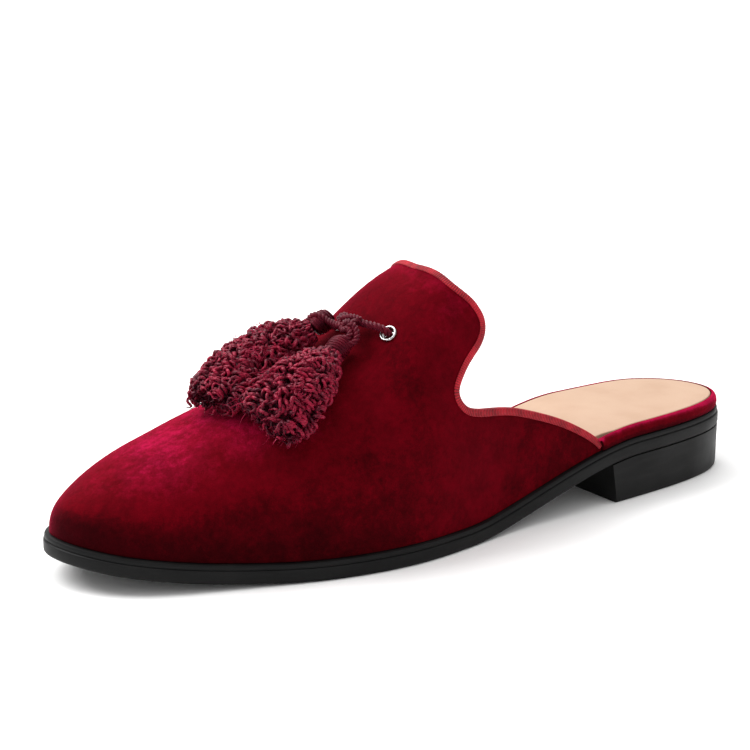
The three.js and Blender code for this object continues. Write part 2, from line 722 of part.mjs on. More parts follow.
place('outsole', outsole(), rubber);
place('heel', heelBlock(), rubber);
place('insole', insole(), tanLeather);
place('heel_rand', heelRand(), velvet);
place('upper', upper(), velvet);
place('topline_binding', bindingTape(), ribbedTape);
['left', 'right'].forEach((side) => {
  place(`eyelet_${side}`, eyelet(EYELETS[side]), silver);
  place(`lace_${side}`, tube(LACES[side].map(offUpper), CORD, CORD_SIDES, CORD_STEPS), cordThread);
});
place('lace_knot', knot(), cordThread);
Object.entries(tasselSkirts()).forEach(([side, skirt]) => {
  place(`tassel_head_${side}`, tasselHead(TASSELS[side]), cordThread);
  place(`tassel_skirt_${side}`, skirt, cordThread);
});

export default slipper;
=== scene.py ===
"""A backless velvet slipper for the left foot, with a tasselled cord on its vamp.

Sizes are in millimetres and become metres where a mesh is made. +X points to the toe, +Y to the
outer side of the foot and +Z up; the floor is z = 0.
"""

from __future__ import annotations

import logging
import math
from dataclasses import dataclass
from enum import Enum
from typing import Sequence

import bpy
import numpy as np
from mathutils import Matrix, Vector

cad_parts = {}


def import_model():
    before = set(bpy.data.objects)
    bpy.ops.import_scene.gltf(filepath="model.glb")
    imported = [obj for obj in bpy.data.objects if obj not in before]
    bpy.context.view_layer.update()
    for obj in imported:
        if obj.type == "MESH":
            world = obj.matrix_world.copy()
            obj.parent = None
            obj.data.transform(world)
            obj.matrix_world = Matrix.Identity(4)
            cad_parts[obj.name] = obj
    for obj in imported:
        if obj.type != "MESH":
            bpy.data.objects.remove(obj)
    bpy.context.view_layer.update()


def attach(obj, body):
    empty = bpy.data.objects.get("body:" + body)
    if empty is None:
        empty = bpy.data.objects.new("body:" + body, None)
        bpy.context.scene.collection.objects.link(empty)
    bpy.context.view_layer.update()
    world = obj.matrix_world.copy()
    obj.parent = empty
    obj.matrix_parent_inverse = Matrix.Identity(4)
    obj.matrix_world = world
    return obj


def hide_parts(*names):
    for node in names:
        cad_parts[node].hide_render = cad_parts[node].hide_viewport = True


LOG = logging.getLogger("slipper")
MM = 0.001
Table = Sequence[tuple[float, ...]]

# Plan of the outsole: share of the length from the heel, y of the outer and of the inner edge
PLAN: Table = (
    (0.0, 0.0, 0.0),
    (0.03, 16.8, -20.2),
    (0.08, 24.3, -28.6),
    (0.15, 29.3, -29.2),
    (0.24, 33.2, -27.6),
    (0.34, 36.2, -26.6),
    (0.42, 39.2, -28.2),
    (0.5, 44.6, -33.2),
    (0.58, 49.4, -40.4),
    (0.66, 49.4, -46.8),
    (0.73, 45.6, -49.6),
    (0.8, 39.0, -48.0),
    (0.86, 33.0, -43.8),
    (0.92, 25.6, -36.2),
    (0.96, 17.8, -28.0),
    (0.99, 6.0, -16.6),
    (1.0, -6.0, -6.0),
)

# Arch of the upper: share of the length, height of the crest over the feather, squareness
ARCH: Table = (
    (0.26, 95.5, 2.6),
    (0.4, 97.4, 2.7),
    (0.49, 92.9, 2.8),
    (0.54, 85.2, 2.74),
    (0.6, 69.6, 2.63),
    (0.66, 57.2, 2.5),
    (0.72, 50.0, 2.42),
    (0.8, 41.8, 2.32),
    (0.86, 34.7, 2.26),
    (0.92, 25.7, 2.19),
    (0.96, 17.6, 2.14),
    (0.985, 11.4, 2.12),
    (1.0, 0.0, 2.1),
)

# Top edge of one side: share of the length, turn round the arch in degrees
TOPLINE: Table = (
    (0.272, 0.4),
    (0.306, 3.7),
    (0.36, 9.1),
    (0.425, 15.0),
    (0.486, 19.3),
    (0.511, 23.0),
    (0.519, 28.4),
    (0.501, 33.5),
    (0.472, 37.9),
    (0.463, 43.4),
    (0.47, 51.5),
    (0.491, 67.0),
    (0.502, 90.0),
)

# Ribs of the upper: share along the top edge, foot of the rib on the sole, lead up the wall
RIB_FEET: Table = (
    (0.0, 0.272, 0.0),
    (0.28, 0.402, 0.0),
    (0.48, 0.51, 0.0),
    (0.56, 0.57, 0.5),
    (0.64, 0.67, 1.0),
    (0.74, 0.8, 1.0),
    (0.87, 0.93, 0.6),
    (1.0, 1.0, 0.0),
)

# Tassel skirt: share along it, half width, half height
SKIRT: Table = (
    (0.0, 4.4, 4.0),
    (0.1, 7.4, 6.0),
    (0.3, 10.6, 7.4),
    (0.6, 13.0, 7.8),
    (0.85, 13.6, 7.4),
    (1.0, 12.2, 5.2),
)

# Eyelets, outer and inner: share of the length, turn round the arch
EYELET_PLACES: Table = ((0.5805, 71.8), (0.5935, 94.8))

# Share of a full turn that spreads neighbours evenly round a bundle
GOLDEN = 0.618034


class Side(Enum):
    """The two sides of the shoe."""

    OUTER = "left"
    INNER = "right"

    @property
    def hand(self) -> int:
        """+1 on the outer side and -1 on the inner side."""
        return 1 if self is Side.OUTER else -1


class Slot(Enum):
    """Names of the finishes, passed with each piece."""

    VELVET = "velvet"
    TAPE = "tape"
    CORD = "cord"
    SOLE = "sole"
    FOOTBED = "footbed"
    SILVER = "silver"


# The foot form


def smoothstep(value: np.ndarray, low: float, high: float) -> np.ndarray:
    """Smooth change from 0 at low to 1 at high."""
    share = np.clip((np.asarray(value, float) - low) / (high - low), 0.0, 1.0)
    return share * share * (3.0 - 2.0 * share)


def lerp(first: np.ndarray, second: np.ndarray, share: np.ndarray) -> np.ndarray:
    """Value a share of the way from the first to the second."""
    return first + (second - first) * share


def unit(vectors: np.ndarray) -> np.ndarray:
    """Vectors of length one along the last axis."""
    size = np.linalg.norm(vectors, axis=-1, keepdims=True)
    return vectors / np.maximum(size, 1e-12)


def angle_of(at: np.ndarray) -> np.ndarray:
    """Angle that spreads the stations of a closed outline evenly round its ends."""
    return np.arccos(1.0 - 2.0 * np.clip(at, 0.0, 1.0))


def share_of(angle: np.ndarray) -> np.ndarray:
    """Share of the length at a station's angle."""
    return (1.0 - np.cos(angle)) / 2.0


class NaturalSpline:
    """Natural cubic spline through the points of one column of a table."""

    def __init__(self, knots: Sequence[float], values: Sequence[float]) -> None:
        """Solves for the bends at the knots.

        Args:
            knots: rising stations.
            values: what the column holds at each station.
        """
        self.knots = np.asarray(knots, float)
        self.values = np.asarray(values, float)
        span = np.diff(self.knots)
        slope = np.diff(self.values) / span
        system = np.eye(len(self.knots))
        kinks = np.zeros(len(self.knots))
        for i in range(1, len(self.knots) - 1):
            system[i, i - 1 : i + 2] = span[i - 1], 2.0 * (span[i - 1] + span[i]), span[i]
            kinks[i] = 6.0 * (slope[i] - slope[i - 1])
        self.bend = np.linalg.solve(system, kinks)

    def __call__(self, at: np.ndarray) -> np.ndarray:
        """Value at one or many stations."""
        at = np.asarray(at, float)
        i = np.clip(np.searchsorted(self.knots, at), 1, len(self.knots) - 1)
        span = self.knots[i] - self.knots[i - 1]
        a = (self.knots[i] - at) / span
        b = 1.0 - a
        curve = (a**3 - a) * self.bend[i - 1] + (b**3 - b) * self.bend[i]
        return a * self.values[i - 1] + b * self.values[i] + curve * span**2 / 6.0


def column(table: Table, index: int) -> NaturalSpline:
    """One column of a table over the angles of its stations."""
    return NaturalSpline([float(angle_of(row[0])) for row in table], [row[index] for row in table])


def walked(points: np.ndarray) -> np.ndarray:
    """Length along a line of points, at each point."""
    steps = np.linalg.norm(np.diff(points, axis=0), axis=1)
    return np.concatenate([[0.0], np.cumsum(steps)])


def resample_with(values: np.ndarray, length: np.ndarray, shares: np.ndarray) -> np.ndarray:
    """Values kept at lengths along a line, read at shares of it."""
    wanted = np.asarray(shares) * length[-1]
    return np.stack([np.interp(wanted, length, values[:, k]) for k in range(values.shape[1])], axis=1)


def resample(points: np.ndarray, shares: np.ndarray) -> np.ndarray:
    """Points at shares of the length of a line."""
    return resample_with(points, walked(points), shares)


def ripple(rng: np.random.Generator, where: np.ndarray, waves: float, size: float) -> np.ndarray:
    """A wave along a line, begun anywhere."""
    return size * np.sin(where * waves + rng.uniform(0.0, 6.0))


def circle(first: np.ndarray, second: np.ndarray, count: int) -> np.ndarray:
    """Directions once round from the first towards the second, with the start again at the end."""
    turns = np.linspace(0.0, 2.0 * math.pi, count)
    return np.cos(turns)[:, None] * first + np.sin(turns)[:, None] * second


def catmull_rom(points: np.ndarray, count: int) -> np.ndarray:
    """Smooth line through points, in even steps along it.

    Args:
        points: the points that it goes through.
        count: number of points that come back.

    Returns:
        The line's points.
    """
    padded = np.vstack([points[:1], points, points[-1:]])
    t = np.linspace(0.0, 1.0, 400)[:, None]
    pieces = []
    for p0, p1, p2, p3 in zip(padded, padded[1:], padded[2:], padded[3:]):
        v0, v1 = (p2 - p0) / 2.0, (p3 - p1) / 2.0
        cubic = (2 * p1 - 2 * p2 + v0 + v1) * t**3 + (-3 * p1 + 3 * p2 - 2 * v0 - v1) * t**2
        pieces.append(cubic + v0 * t + p1)
    return resample(np.vstack(pieces), np.linspace(0.0, 1.0, count))


@dataclass
class Last:
    """The form that the slipper is made over: plan, heights and the arch of the upper."""

    length: float = 298.0
    seat_height: float = 17.5
    waist: tuple[float, float] = (0.2, 0.51)
    spring_from: float = 0.7
    spring_rise: float = 10.0
    sole_edge: float = 7.2
    gap: float = 0.3
    seat_rise: float = 5.2
    fore_rise: float = 3.6
    rise_change: tuple[float, float] = (0.3, 0.6)
    feather_inset: float = 2.2
    turn_scale: float = 0.9
    lag_share: float = 0.05
    lag_until: float = 0.5
    crowding: float = 0.7
    fan: tuple[float, float] = (0.6, 0.92)

    def __post_init__(self) -> None:
        """Fits the splines of the tables."""
        self.edge_y = {Side.OUTER: column(PLAN, 1), Side.INNER: column(PLAN, 2)}
        self.crest = column(ARCH, 1)
        self.square = column(ARCH, 2)
        shares = [row[0] for row in RIB_FEET]
        self.rib_foot = NaturalSpline(shares, [float(angle_of(row[1])) for row in RIB_FEET])
        self.rib_lead = NaturalSpline(shares, [row[2] for row in RIB_FEET])
        edge = np.array(TOPLINE) * (self.length, self.turn_scale)
        self.top_edge = catmull_rom(edge, 2000)

    def along(self, at: np.ndarray) -> np.ndarray:
        """x at a share of the length."""
        return self.length * (np.asarray(at, float) - 0.5)

    def underside(self, at: np.ndarray) -> np.ndarray:
        """Height of the outsole's underside above the floor."""
        toe = np.clip((np.asarray(at, float) - self.spring_from) / (1.0 - self.spring_from), 0.0, 1.0)
        return self.seat_height * (1.0 - smoothstep(at, *self.waist)) + self.spring_rise * toe**2

    def sole_top(self, at: np.ndarray) -> np.ndarray:
        """Height of the outsole's upper face."""
        return self.underside(at) + self.sole_edge

    def feather(self, at: np.ndarray) -> np.ndarray:
        """Height of the foot of the upper's wall."""
        return self.sole_top(at) + self.gap

    def footbed(self, at: np.ndarray) -> np.ndarray:
        """Height of the footbed's upper face."""
        change = smoothstep(at, *self.rise_change)
        return self.sole_top(at) + lerp(self.seat_rise, self.fore_rise, change)

    def edge(self, side: Side, at: np.ndarray, inset: np.ndarray, height: np.ndarray) -> np.ndarray:
        """Points on one edge of the plan, moved inward square to the edge.

        Args:
            side: which edge.
            at: shares of the length.
            inset: how far inward.
            height: z of the points.

        Returns:
            Points along the last axis.
        """
        at = np.asarray(at, float)
        angle = angle_of(at)
        low = share_of(np.maximum(angle - 1e-4, 0.0))
        high = share_of(np.minimum(angle + 1e-4, math.pi))
        curve = self.edge_y[side]
        way = np.stack([self.along(high) - self.along(low), curve(angle_of(high)) - curve(angle_of(low))], -1)
        way = unit(way)
        x = self.along(at) + inset * side.hand * way[..., 1]
        y = curve(angle) - inset * side.hand * way[..., 0]
        return np.stack(np.broadcast_arrays(x, y, height), -1)

    def upper(self, at: np.ndarray, turn: np.ndarray) -> np.ndarray:
        """Points of the upper's outer face, at shares of the length and turns round the arch."""
        at, turn = np.broadcast_arrays(np.asarray(at, float), np.asarray(turn, float))
        height = self.feather(at)
        left = self.edge(Side.OUTER, at, self.feather_inset, height)
        right = self.edge(Side.INNER, at, self.feather_inset, height)
        power = 2.0 / self.square(angle_of(at))
        cosine, sine = np.cos(np.radians(turn)), np.sin(np.radians(turn))
        across = (1.0 + np.sign(cosine) * np.abs(cosine) ** power) / 2.0
        point = lerp(right, left, across[..., None])
        point[..., 2] += self.crest(angle_of(at)) * np.abs(sine) ** power
        return point

    def normal(self, at: np.ndarray, turn: np.ndarray) -> np.ndarray:
        """Outward directions of the upper's face."""
        forward = self.upper(at + 0.002, turn) - self.upper(at - 0.002, turn)
        around = self.upper(at, turn + 1.0) - self.upper(at, turn - 1.0)
        return unit(np.cross(around, forward))

    def off(self, at: np.ndarray, turn: np.ndarray, lift: np.ndarray) -> np.ndarray:
        """Points lifted off the upper's face."""
        at, turn, lift = np.broadcast_arrays(*(np.asarray(v, float) for v in (at, turn, lift)))
        return self.upper(at, turn) + self.normal(at, turn) * lift[..., None]

    def rib(self, share: float, side: Side, steps: int) -> np.ndarray:
        """One rib of the upper, from the sole to the top edge.

        Args:
            share: where the rib ends along the top edge of its side.
            side: the side that it stands on.
            steps: number of steps up the rib.

        Returns:
            Rows of x, y, z, share of the length and turn.
        """
        edge = resample(self.top_edge, np.array([share]))[0]
        late = self.lag_share * (1.0 - smoothstep(share, 0.0, self.lag_until))
        lag = float(late) if side is Side.INNER else 0.0
        end_at, end_turn = edge[0] / self.length + lag, edge[1] / self.turn_scale
        foot = float(share_of(self.rib_foot(share))) + lag
        ease = 1.0 + float(np.clip(self.rib_lead(share), 0.0, 1.0))
        fan = float(smoothstep(foot, *self.fan))
        way = np.linspace(0.0, 1.0, 320)
        at = lerp(foot, end_at, way**ease)

        def half_width(where: np.ndarray) -> np.ndarray:
            """Half the width of the plan."""
            angle = angle_of(where)
            return (self.edge_y[Side.OUTER](angle) - self.edge_y[Side.INNER](angle)) / 2.0

        reach = half_width(end_at) * math.cos(math.radians(end_turn))
        across = lerp(half_width(foot), reach, way)
        across = np.clip(across / np.maximum(half_width(at), 1e-3), 0.0, 1.0)
        climb = end_turn * (1.0 - (1.0 - way) ** ease)
        turn = lerp(climb, np.degrees(np.arccos(across)), fan)
        turn = turn if side is Side.OUTER else 180.0 - turn
        trail = np.column_stack([self.upper(at, turn), at, turn])
        shares = np.linspace(0.0, 1.0, steps + 1) ** (1.0 + self.crowding * fan)
        return resample_with(trail, walked(trail[:, :3]), shares)

    def ribs(self, count: int, steps: int) -> np.ndarray:
        """Grid of the upper's face, from the outer quarter round the toe to the inner quarter."""
        half = count // 2
        rows = []
        for i in range(count + 1):
            side = Side.OUTER if i <= half else Side.INNER
            rows.append(self.rib(1.0 - abs(i - half) / half, side, steps))
        return np.array(rows)


def grid_normals(grid: np.ndarray) -> np.ndarray:
    """Outward direction at each point of a grid of ribs."""
    around = np.gradient(grid, axis=0)
    up = np.gradient(grid, axis=1)
    return unit(np.cross(up, around))


# The bench: meshes


def deselect() -> None:
    """Leaves edit mode and clears the selection."""
    if bpy.context.object and bpy.context.object.mode != "OBJECT":
        bpy.ops.object.mode_set(mode="OBJECT")
    bpy.ops.object.select_all(action="DESELECT")


def pick(*objects: bpy.types.Object) -> None:
    """Selects objects, with the first one active."""
    deselect()
    for piece in objects:
        piece.select_set(True)
    bpy.context.view_layer.objects.active = objects[0]


def patch(name: str, points: np.ndarray) -> bpy.types.Object:
    """A grid primitive drawn out over rows and columns of points.

    Args:
        name: name of the piece.
        points: millimetres, as rows by columns by three.

    Returns:
        The piece, with a UV map along its columns and rows.
    """
    rows, columns = points.shape[:2]
    deselect()
    bpy.ops.mesh.primitive_grid_add(x_subdivisions=columns - 1, y_subdivisions=rows - 1, size=1.0)
    piece = bpy.context.object
    piece.name = piece.data.name = name
    piece.data.vertices.foreach_set("co", (points * MM).astype(np.float32).ravel())
    piece.data.update()
    return piece


def weld(name: str, parts: Sequence[bpy.types.Object], reach: float = 1e-3) -> bpy.types.Object:
    """Joins patches into one closed piece with its faces turned outward.

    Args:
        name: name of the piece.
        parts: the patches.
        reach: points closer than this become one, in millimetres.

    Returns:
        The piece.
    """
    pick(*parts)
    if len(parts) > 1:
        bpy.ops.object.join()
    piece = bpy.context.object
    piece.name = piece.data.name = name
    bpy.ops.object.mode_set(mode="EDIT")
    bpy.ops.mesh.select_all(action="SELECT")
    bpy.ops.mesh.remove_doubles(threshold=reach * MM)
    bpy.ops.mesh.dissolve_degenerate(threshold=reach * MM)
    bpy.ops.mesh.normals_make_consistent(inside=False)
    bpy.ops.object.mode_set(mode="OBJECT")
    return piece


def apply_modifier(piece: bpy.types.Object, kind: str, **settings: object) -> None:
    """Adds a modifier with its settings and applies it."""
    pick(piece)
    modifier = piece.modifiers.new(kind.title(), kind)
    for key, value in settings.items():
        setattr(modifier, key, value)
    bpy.ops.object.modifier_apply(modifier=modifier.name)


def smooth(piece: bpy.types.Object, degrees: float = 40.0) -> None:
    """Shades smooth across edges flatter than an angle."""
    pick(piece)
    bpy.ops.object.shade_smooth_by_angle(angle=math.radians(degrees))


def tubes(
    name: str,
    lines: np.ndarray,
    radii: np.ndarray,
    ups: np.ndarray,
    sides: int,
    painted_shading: np.ndarray | None = None,
) -> bpy.types.Object:
    """Many round strands joined in one mesh.

    Args:
        name: name of the piece.
        lines: millimetres, strands by points by three.
        radii: radius at each point.
        ups: a direction across the strand at each point.
        sides: corners of a strand's section.
        painted_shading: painted shade and highlight, as how much lighter or darker the thread is at each
            point.

    Returns:
        The piece, with a UV map round and along each strand and its painted shading.
    """
    strands, count = lines.shape[:2]
    ahead = unit(np.gradient(lines, axis=1))
    first = unit(ups - ahead * np.sum(ups * ahead, axis=-1, keepdims=True))
    second = np.cross(ahead, first)
    turns = np.linspace(0.0, 2.0 * math.pi, sides, endpoint=False)
    ring = first[:, :, None] * np.cos(turns)[:, None] + second[:, :, None] * np.sin(turns)[:, None]
    points = lines[:, :, None] + ring * radii[:, :, None, None]
    index = np.arange(strands * count * sides).reshape(strands, count, sides)
    after = np.roll(index, -1, axis=2)
    quads = np.stack([index[:, :-1], after[:, :-1], after[:, 1:], index[:, 1:]], -1).reshape(-1, 4)
    faces = quads.tolist()
    faces += index[:, 0, ::-1].tolist()
    faces += index[:, -1].tolist()
    mesh = bpy.data.meshes.new(name)
    mesh.from_pydata((points.reshape(-1, 3) * MM).tolist(), [], faces)
    around = np.arange(sides) / sides
    travel = np.zeros((strands, count))
    travel[:, 1:] = np.cumsum(np.linalg.norm(np.diff(lines, axis=1), axis=-1), axis=1)
    u = np.broadcast_to(around, (strands, count - 1, sides))
    v0 = np.broadcast_to(travel[:, :-1, None], u.shape)
    v1 = np.broadcast_to(travel[:, 1:, None], u.shape)
    u1 = u + 1.0 / sides
    wall = np.stack([u, v0, u1, v0, u1, v1, u, v1], -1).reshape(-1)
    caps = np.zeros(strands * 2 * sides * 2)
    mesh.uv_layers.new(name="strand").data.foreach_set("uv", np.concatenate([wall, caps]).astype(np.float32))
    if painted_shading is not None:
        tone = mesh.attributes.new("tone", "FLOAT", "POINT")
        tone.data.foreach_set("value", np.repeat(painted_shading.reshape(-1), sides).astype(np.float32))
    mesh.validate()
    piece = bpy.data.objects.new(name, mesh)
    bpy.context.scene.collection.objects.link(piece)
    smooth(piece, 80.0)
    return piece


def carried_frame(line: np.ndarray) -> tuple[np.ndarray, np.ndarray]:
    """Two directions across a line, carried along it without twist.

    Args:
        line: points of the line.

    Returns:
        The two directions at each point.
    """
    ahead = unit(np.gradient(line, axis=0))
    side = np.cross(ahead[0], (0.0, 0.0, 1.0))
    if np.linalg.norm(side) < 0.1:
        side = np.cross(ahead[0], (0.0, 1.0, 0.0))
    first = [side / np.linalg.norm(side)]
    for way in ahead[1:]:
        carried = first[-1] - way * np.dot(first[-1], way)
        first.append(carried / np.linalg.norm(carried))
    first = np.array(first)
    return first, np.cross(ahead, first)


def twisted(line: np.ndarray, width: float, lay: float, plies: int = 3) -> tuple[np.ndarray, ...]:
    """Strands of a laid cord round a line.

    Args:
        line: points of the cord's middle.
        width: diameter of the cord.
        lay: length of one turn of a strand.
        plies: number of strands.

    Returns:
        Lines, radii and directions for tubes().
    """
    first, second = carried_frame(line)
    travel = walked(line)
    radius = width / 2.0
    strand = radius / (1.0 + 1.0 / math.sin(math.pi / plies)) * 1.03
    orbit = radius - strand
    lines, ups = [], []
    for k in range(plies):
        turn = 2.0 * math.pi * (travel / lay + k / plies)
        out = first * np.cos(turn)[:, None] + second * np.sin(turn)[:, None]
        lines.append(line + out * orbit)
        ups.append(out)
    return np.array(lines), np.full((plies, len(line)), strand), np.array(ups)


def ride(piece: bpy.types.Object, slot: Slot, *nodes: str) -> None:
    """Hangs a piece on the shoe, in place of the solids that it stands for."""
    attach(piece, "root")
    if nodes:
        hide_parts(*nodes)
    LOG.info("%s: %d faces", piece.name, len(piece.data.polygons))


# Finishes


def srgb(red: float, green: float, blue: float) -> tuple[float, float, float, float]:
    """Scene colour of a screen colour given from 0 to 255."""

    def linear(value: float) -> float:
        """One channel without its screen curve."""
        share = value / 255.0
        return share / 12.92 if share <= 0.04045 else ((share + 0.055) / 1.055) ** 2.4

    return linear(red), linear(green), linear(blue), 1.0


Socket = bpy.types.NodeSocket
Colour = tuple[float, float, float]


class Graph:
    """Node graph of one finish, with a few wiring helpers."""

    def __init__(self, name: str) -> None:
        """Starts a material with a principled shader."""
        self.material = bpy.data.materials.new(name)
        self.material.use_nodes = True
        self.tree = self.material.node_tree
        self.tree.nodes.clear()
        self.shader = self.node("ShaderNodeBsdfPrincipled")
        self.node("ShaderNodeOutputMaterial", Surface=self.shader.outputs["BSDF"])
        self.coords = self.node("ShaderNodeTexCoord")
        self.place = self.coords.outputs["Object"]

    def node(self, kind: str, **inputs: object) -> bpy.types.Node:
        """Adds a node and feeds its sockets."""
        made = self.tree.nodes.new(kind)
        self.feed(made, **inputs)
        return made

    def feed(self, node: bpy.types.Node, **inputs: object) -> None:
        """Links sockets to sockets and sets plain values; an underscore stands for a space."""
        for name, value in inputs.items():
            self.plug(node.inputs[name.replace("_", " ")], value)

    def plug(self, socket: Socket, value: object) -> None:
        """Links a socket to another one, or sets a plain value on it."""
        if isinstance(value, Socket):
            self.tree.links.new(value, socket)
        else:
            socket.default_value = value

    def finish(self, **inputs: object) -> None:
        """Feeds the principled shader."""
        self.feed(self.shader, **inputs)

    def noise(
        self, size: float, detail: float = 2.0, rough: float = 0.5, place: Socket | None = None
    ) -> Socket:
        """Noise whose spots are about a size in millimetres."""
        made = self.node(
            "ShaderNodeTexNoise",
            Vector=place or self.place,
            Scale=1.0 / (size * MM),
            Detail=detail,
            Roughness=rough,
        )
        return made.outputs["Fac"]

    def cells(self, size: float) -> Socket:
        """Distance to the nearest of scattered points a size apart."""
        made = self.node("ShaderNodeTexVoronoi", Vector=self.place, Scale=1.0 / (size * MM))
        return made.outputs["Distance"]

    def stretch(self, place: Socket, scale: Colour, turn: Colour = (0.0, 0.0, 0.0)) -> Socket:
        """Coordinates stretched and turned."""
        made = self.node("ShaderNodeMapping", Vector=place, Scale=scale, Rotation=turn)
        return made.outputs["Vector"]

    def sums(self, operation: str, first: object, second: object) -> Socket:
        """One step of arithmetic."""
        made = self.tree.nodes.new("ShaderNodeMath")
        made.operation = operation
        for socket, value in zip(made.inputs, (first, second)):
            self.plug(socket, value)
        return made.outputs[0]

    def weigh(self, *terms: tuple[Socket, float]) -> Socket:
        """Sum of values, each times its weight."""
        products = [self.sums("MULTIPLY", value, weight) for value, weight in terms]
        total = products[0]
        for product in products[1:]:
            total = self.sums("ADD", total, product)
        return total

    def parts(self, place: Socket) -> bpy.types.NodeOutputs:
        """The three coordinates, apart."""
        return self.node("ShaderNodeSeparateXYZ", Vector=place).outputs

    def ramp(self, share: Socket, *stops: tuple[float, Colour]) -> Socket:
        """Colour that runs through stops."""
        made = self.node("ShaderNodeValToRGB", Fac=share)
        line = made.color_ramp
        while len(line.elements) < len(stops):
            line.elements.new(0.5)
        for element, (where, colour) in zip(line.elements, stops):
            element.position = where
            element.color = srgb(*colour)
        return made.outputs["Color"]

    def span(
        self, share: Socket, low: float, high: float, to_low: float = 0.0, to_high: float = 1.0
    ) -> Socket:
        """A range of values spread over another one."""
        made = self.node(
            "ShaderNodeMapRange",
            Value=share,
            From_Min=low,
            From_Max=high,
            To_Min=to_low,
            To_Max=to_high,
        )
        return made.outputs["Result"]

    def blend(self, share: object, first: object, second: object, mode: str = "MIX") -> Socket:
        """Mix of two colours."""
        made = self.tree.nodes.new("ShaderNodeMix")
        made.data_type = "RGBA"
        made.blend_type = mode
        for index, value in ((0, share), (6, first), (7, second)):
            self.plug(made.inputs[index], value)
        return made.outputs[2]

    def bump(
        self, height: Socket, depth: float, strength: float = 1.0, below: Socket | None = None
    ) -> Socket:
        """Relief of a depth in millimetres, over any relief below it."""
        made = self.node("ShaderNodeBump", Height=height, Strength=strength, Distance=depth * MM)
        if below is not None:
            self.tree.links.new(below, made.inputs["Normal"])
        return made.outputs["Normal"]


@dataclass(frozen=True)
class Finish:
    """A finish that is made once and shared."""

    name: str

    def material(self) -> bpy.types.Material:
        """The finish's material, made at the first call."""
        known = bpy.data.materials.get(self.name)
        return known or self.make(Graph(self.name))

    def make(self, graph: Graph) -> bpy.types.Material:
        """Wires the finish."""
        raise NotImplementedError


@dataclass(frozen=True)
class Velvet(Finish):
    """Cut-pile velvet, its colour painted by which way each face points: painted shade on faces turned down
    or towards the toe, painted highlight on faces turned up, with a rosy sheen.
    """

    name: str = "velvet_pile"
    # Ramp of painted shade and light, from faces turned down to faces turned up
    painted_shade: Colour = (48, 0, 4)
    side: Colour = (70, 0, 7)
    flank: Colour = (92, 0, 11)
    slope: Colour = (98, 1, 14)
    lit_crown: Colour = (122, 4, 30)
    ridge: Colour = (168, 14, 60)
    glow: Colour = (255, 36, 92)
    # How much faces turned towards the toe are painted darker
    lean: float = 0.8
    stroke_mm: float = 24.0
    brush_mm: float = 8.0
    patch_mm: float = 11.0
    mottle_mm: float = 2.2
    pile_mm: float = 0.42

    def make(self, graph: Graph) -> bpy.types.Material:
        """Colour painted lighter or darker by facing (painted highlight and shade), broken by brushed strokes
        and mottled grain, and a raking glow from the sheen.
        """
        mottle = graph.noise(self.mottle_mm, 4.0, 0.62)
        pile = graph.noise(self.pile_mm, 2.0, 0.6)
        # Painted light and shade: the colour follows which way each face points, lighter turned up, darker
        # turned down or towards the toe
        facing = graph.parts(graph.node("ShaderNodeNewGeometry").outputs["Normal"])
        facing_light = graph.sums("SUBTRACT", facing["Z"], graph.sums("MULTIPLY", facing["X"], self.lean))
        for grain, depth in (
            (graph.noise(self.stroke_mm, 3.0), 0.42),
            (graph.noise(self.brush_mm, 3.0, 0.6), 0.4),
            (mottle, 0.34),
            (pile, 0.3),
        ):
            facing_light = graph.sums("ADD", facing_light, graph.sums("MULTIPLY", graph.sums("SUBTRACT", grain, 0.5), depth))
        # Painted shade at the low end of the ramp, painted highlight (ridge) at the top
        colour = graph.ramp(
            graph.span(facing_light, -0.5, 1.0),
            (0.14, self.painted_shade),
            (0.33, self.side),
            (0.45, self.flank),
            (0.63, self.slope),
            (0.77, self.lit_crown),
            (0.9, self.ridge),
        )
        for grain, shade in ((graph.noise(self.patch_mm, 4.0, 0.6), 0.86), (mottle, 0.92)):
            worn = graph.ramp(grain, (0.34, (255 * shade,) * 3), (0.62, (255, 255, 255)))
            colour = graph.blend(1.0, colour, worn, "MULTIPLY")
        relief = graph.bump(pile, 0.16, 0.8)
        relief = graph.bump(mottle, 0.25, 0.5, relief)
        graph.finish(
            Base_Color=colour,
            Roughness=0.92,
            Specular_IOR_Level=0.03,
            Sheen_Weight=0.55,
            Sheen_Roughness=0.3,
            Sheen_Tint=srgb(*self.glow),
            Normal=relief,
        )
        return graph.material


@dataclass(frozen=True)
class Leather(Finish):
    """Smooth tan leather with a fine grain."""

    name: str = "tan_leather"
    light: Colour = (190, 158, 133)
    body: Colour = (186, 153, 128)
    dark: Colour = (180, 146, 120)

    def make(self, graph: Graph) -> bpy.types.Material:
        """Cloudy colour over pores and a cell grain."""
        clouds = graph.noise(16.0, 4.0)
        grain = graph.cells(0.8)
        pores = graph.noise(0.35, 2.0)
        tone = graph.weigh((clouds, 0.75), (pores, 0.25))
        colour = graph.ramp(tone, (0.32, self.dark), (0.5, self.body), (0.7, self.light))
        relief = graph.bump(grain, 0.08, 0.35)
        relief = graph.bump(pores, 0.05, 0.4, relief)
        graph.finish(
            Base_Color=colour,
            Roughness=graph.span(pores, 0.3, 0.7, 0.48, 0.62),
            Specular_IOR_Level=0.35,
            Normal=relief,
        )
        return graph.material


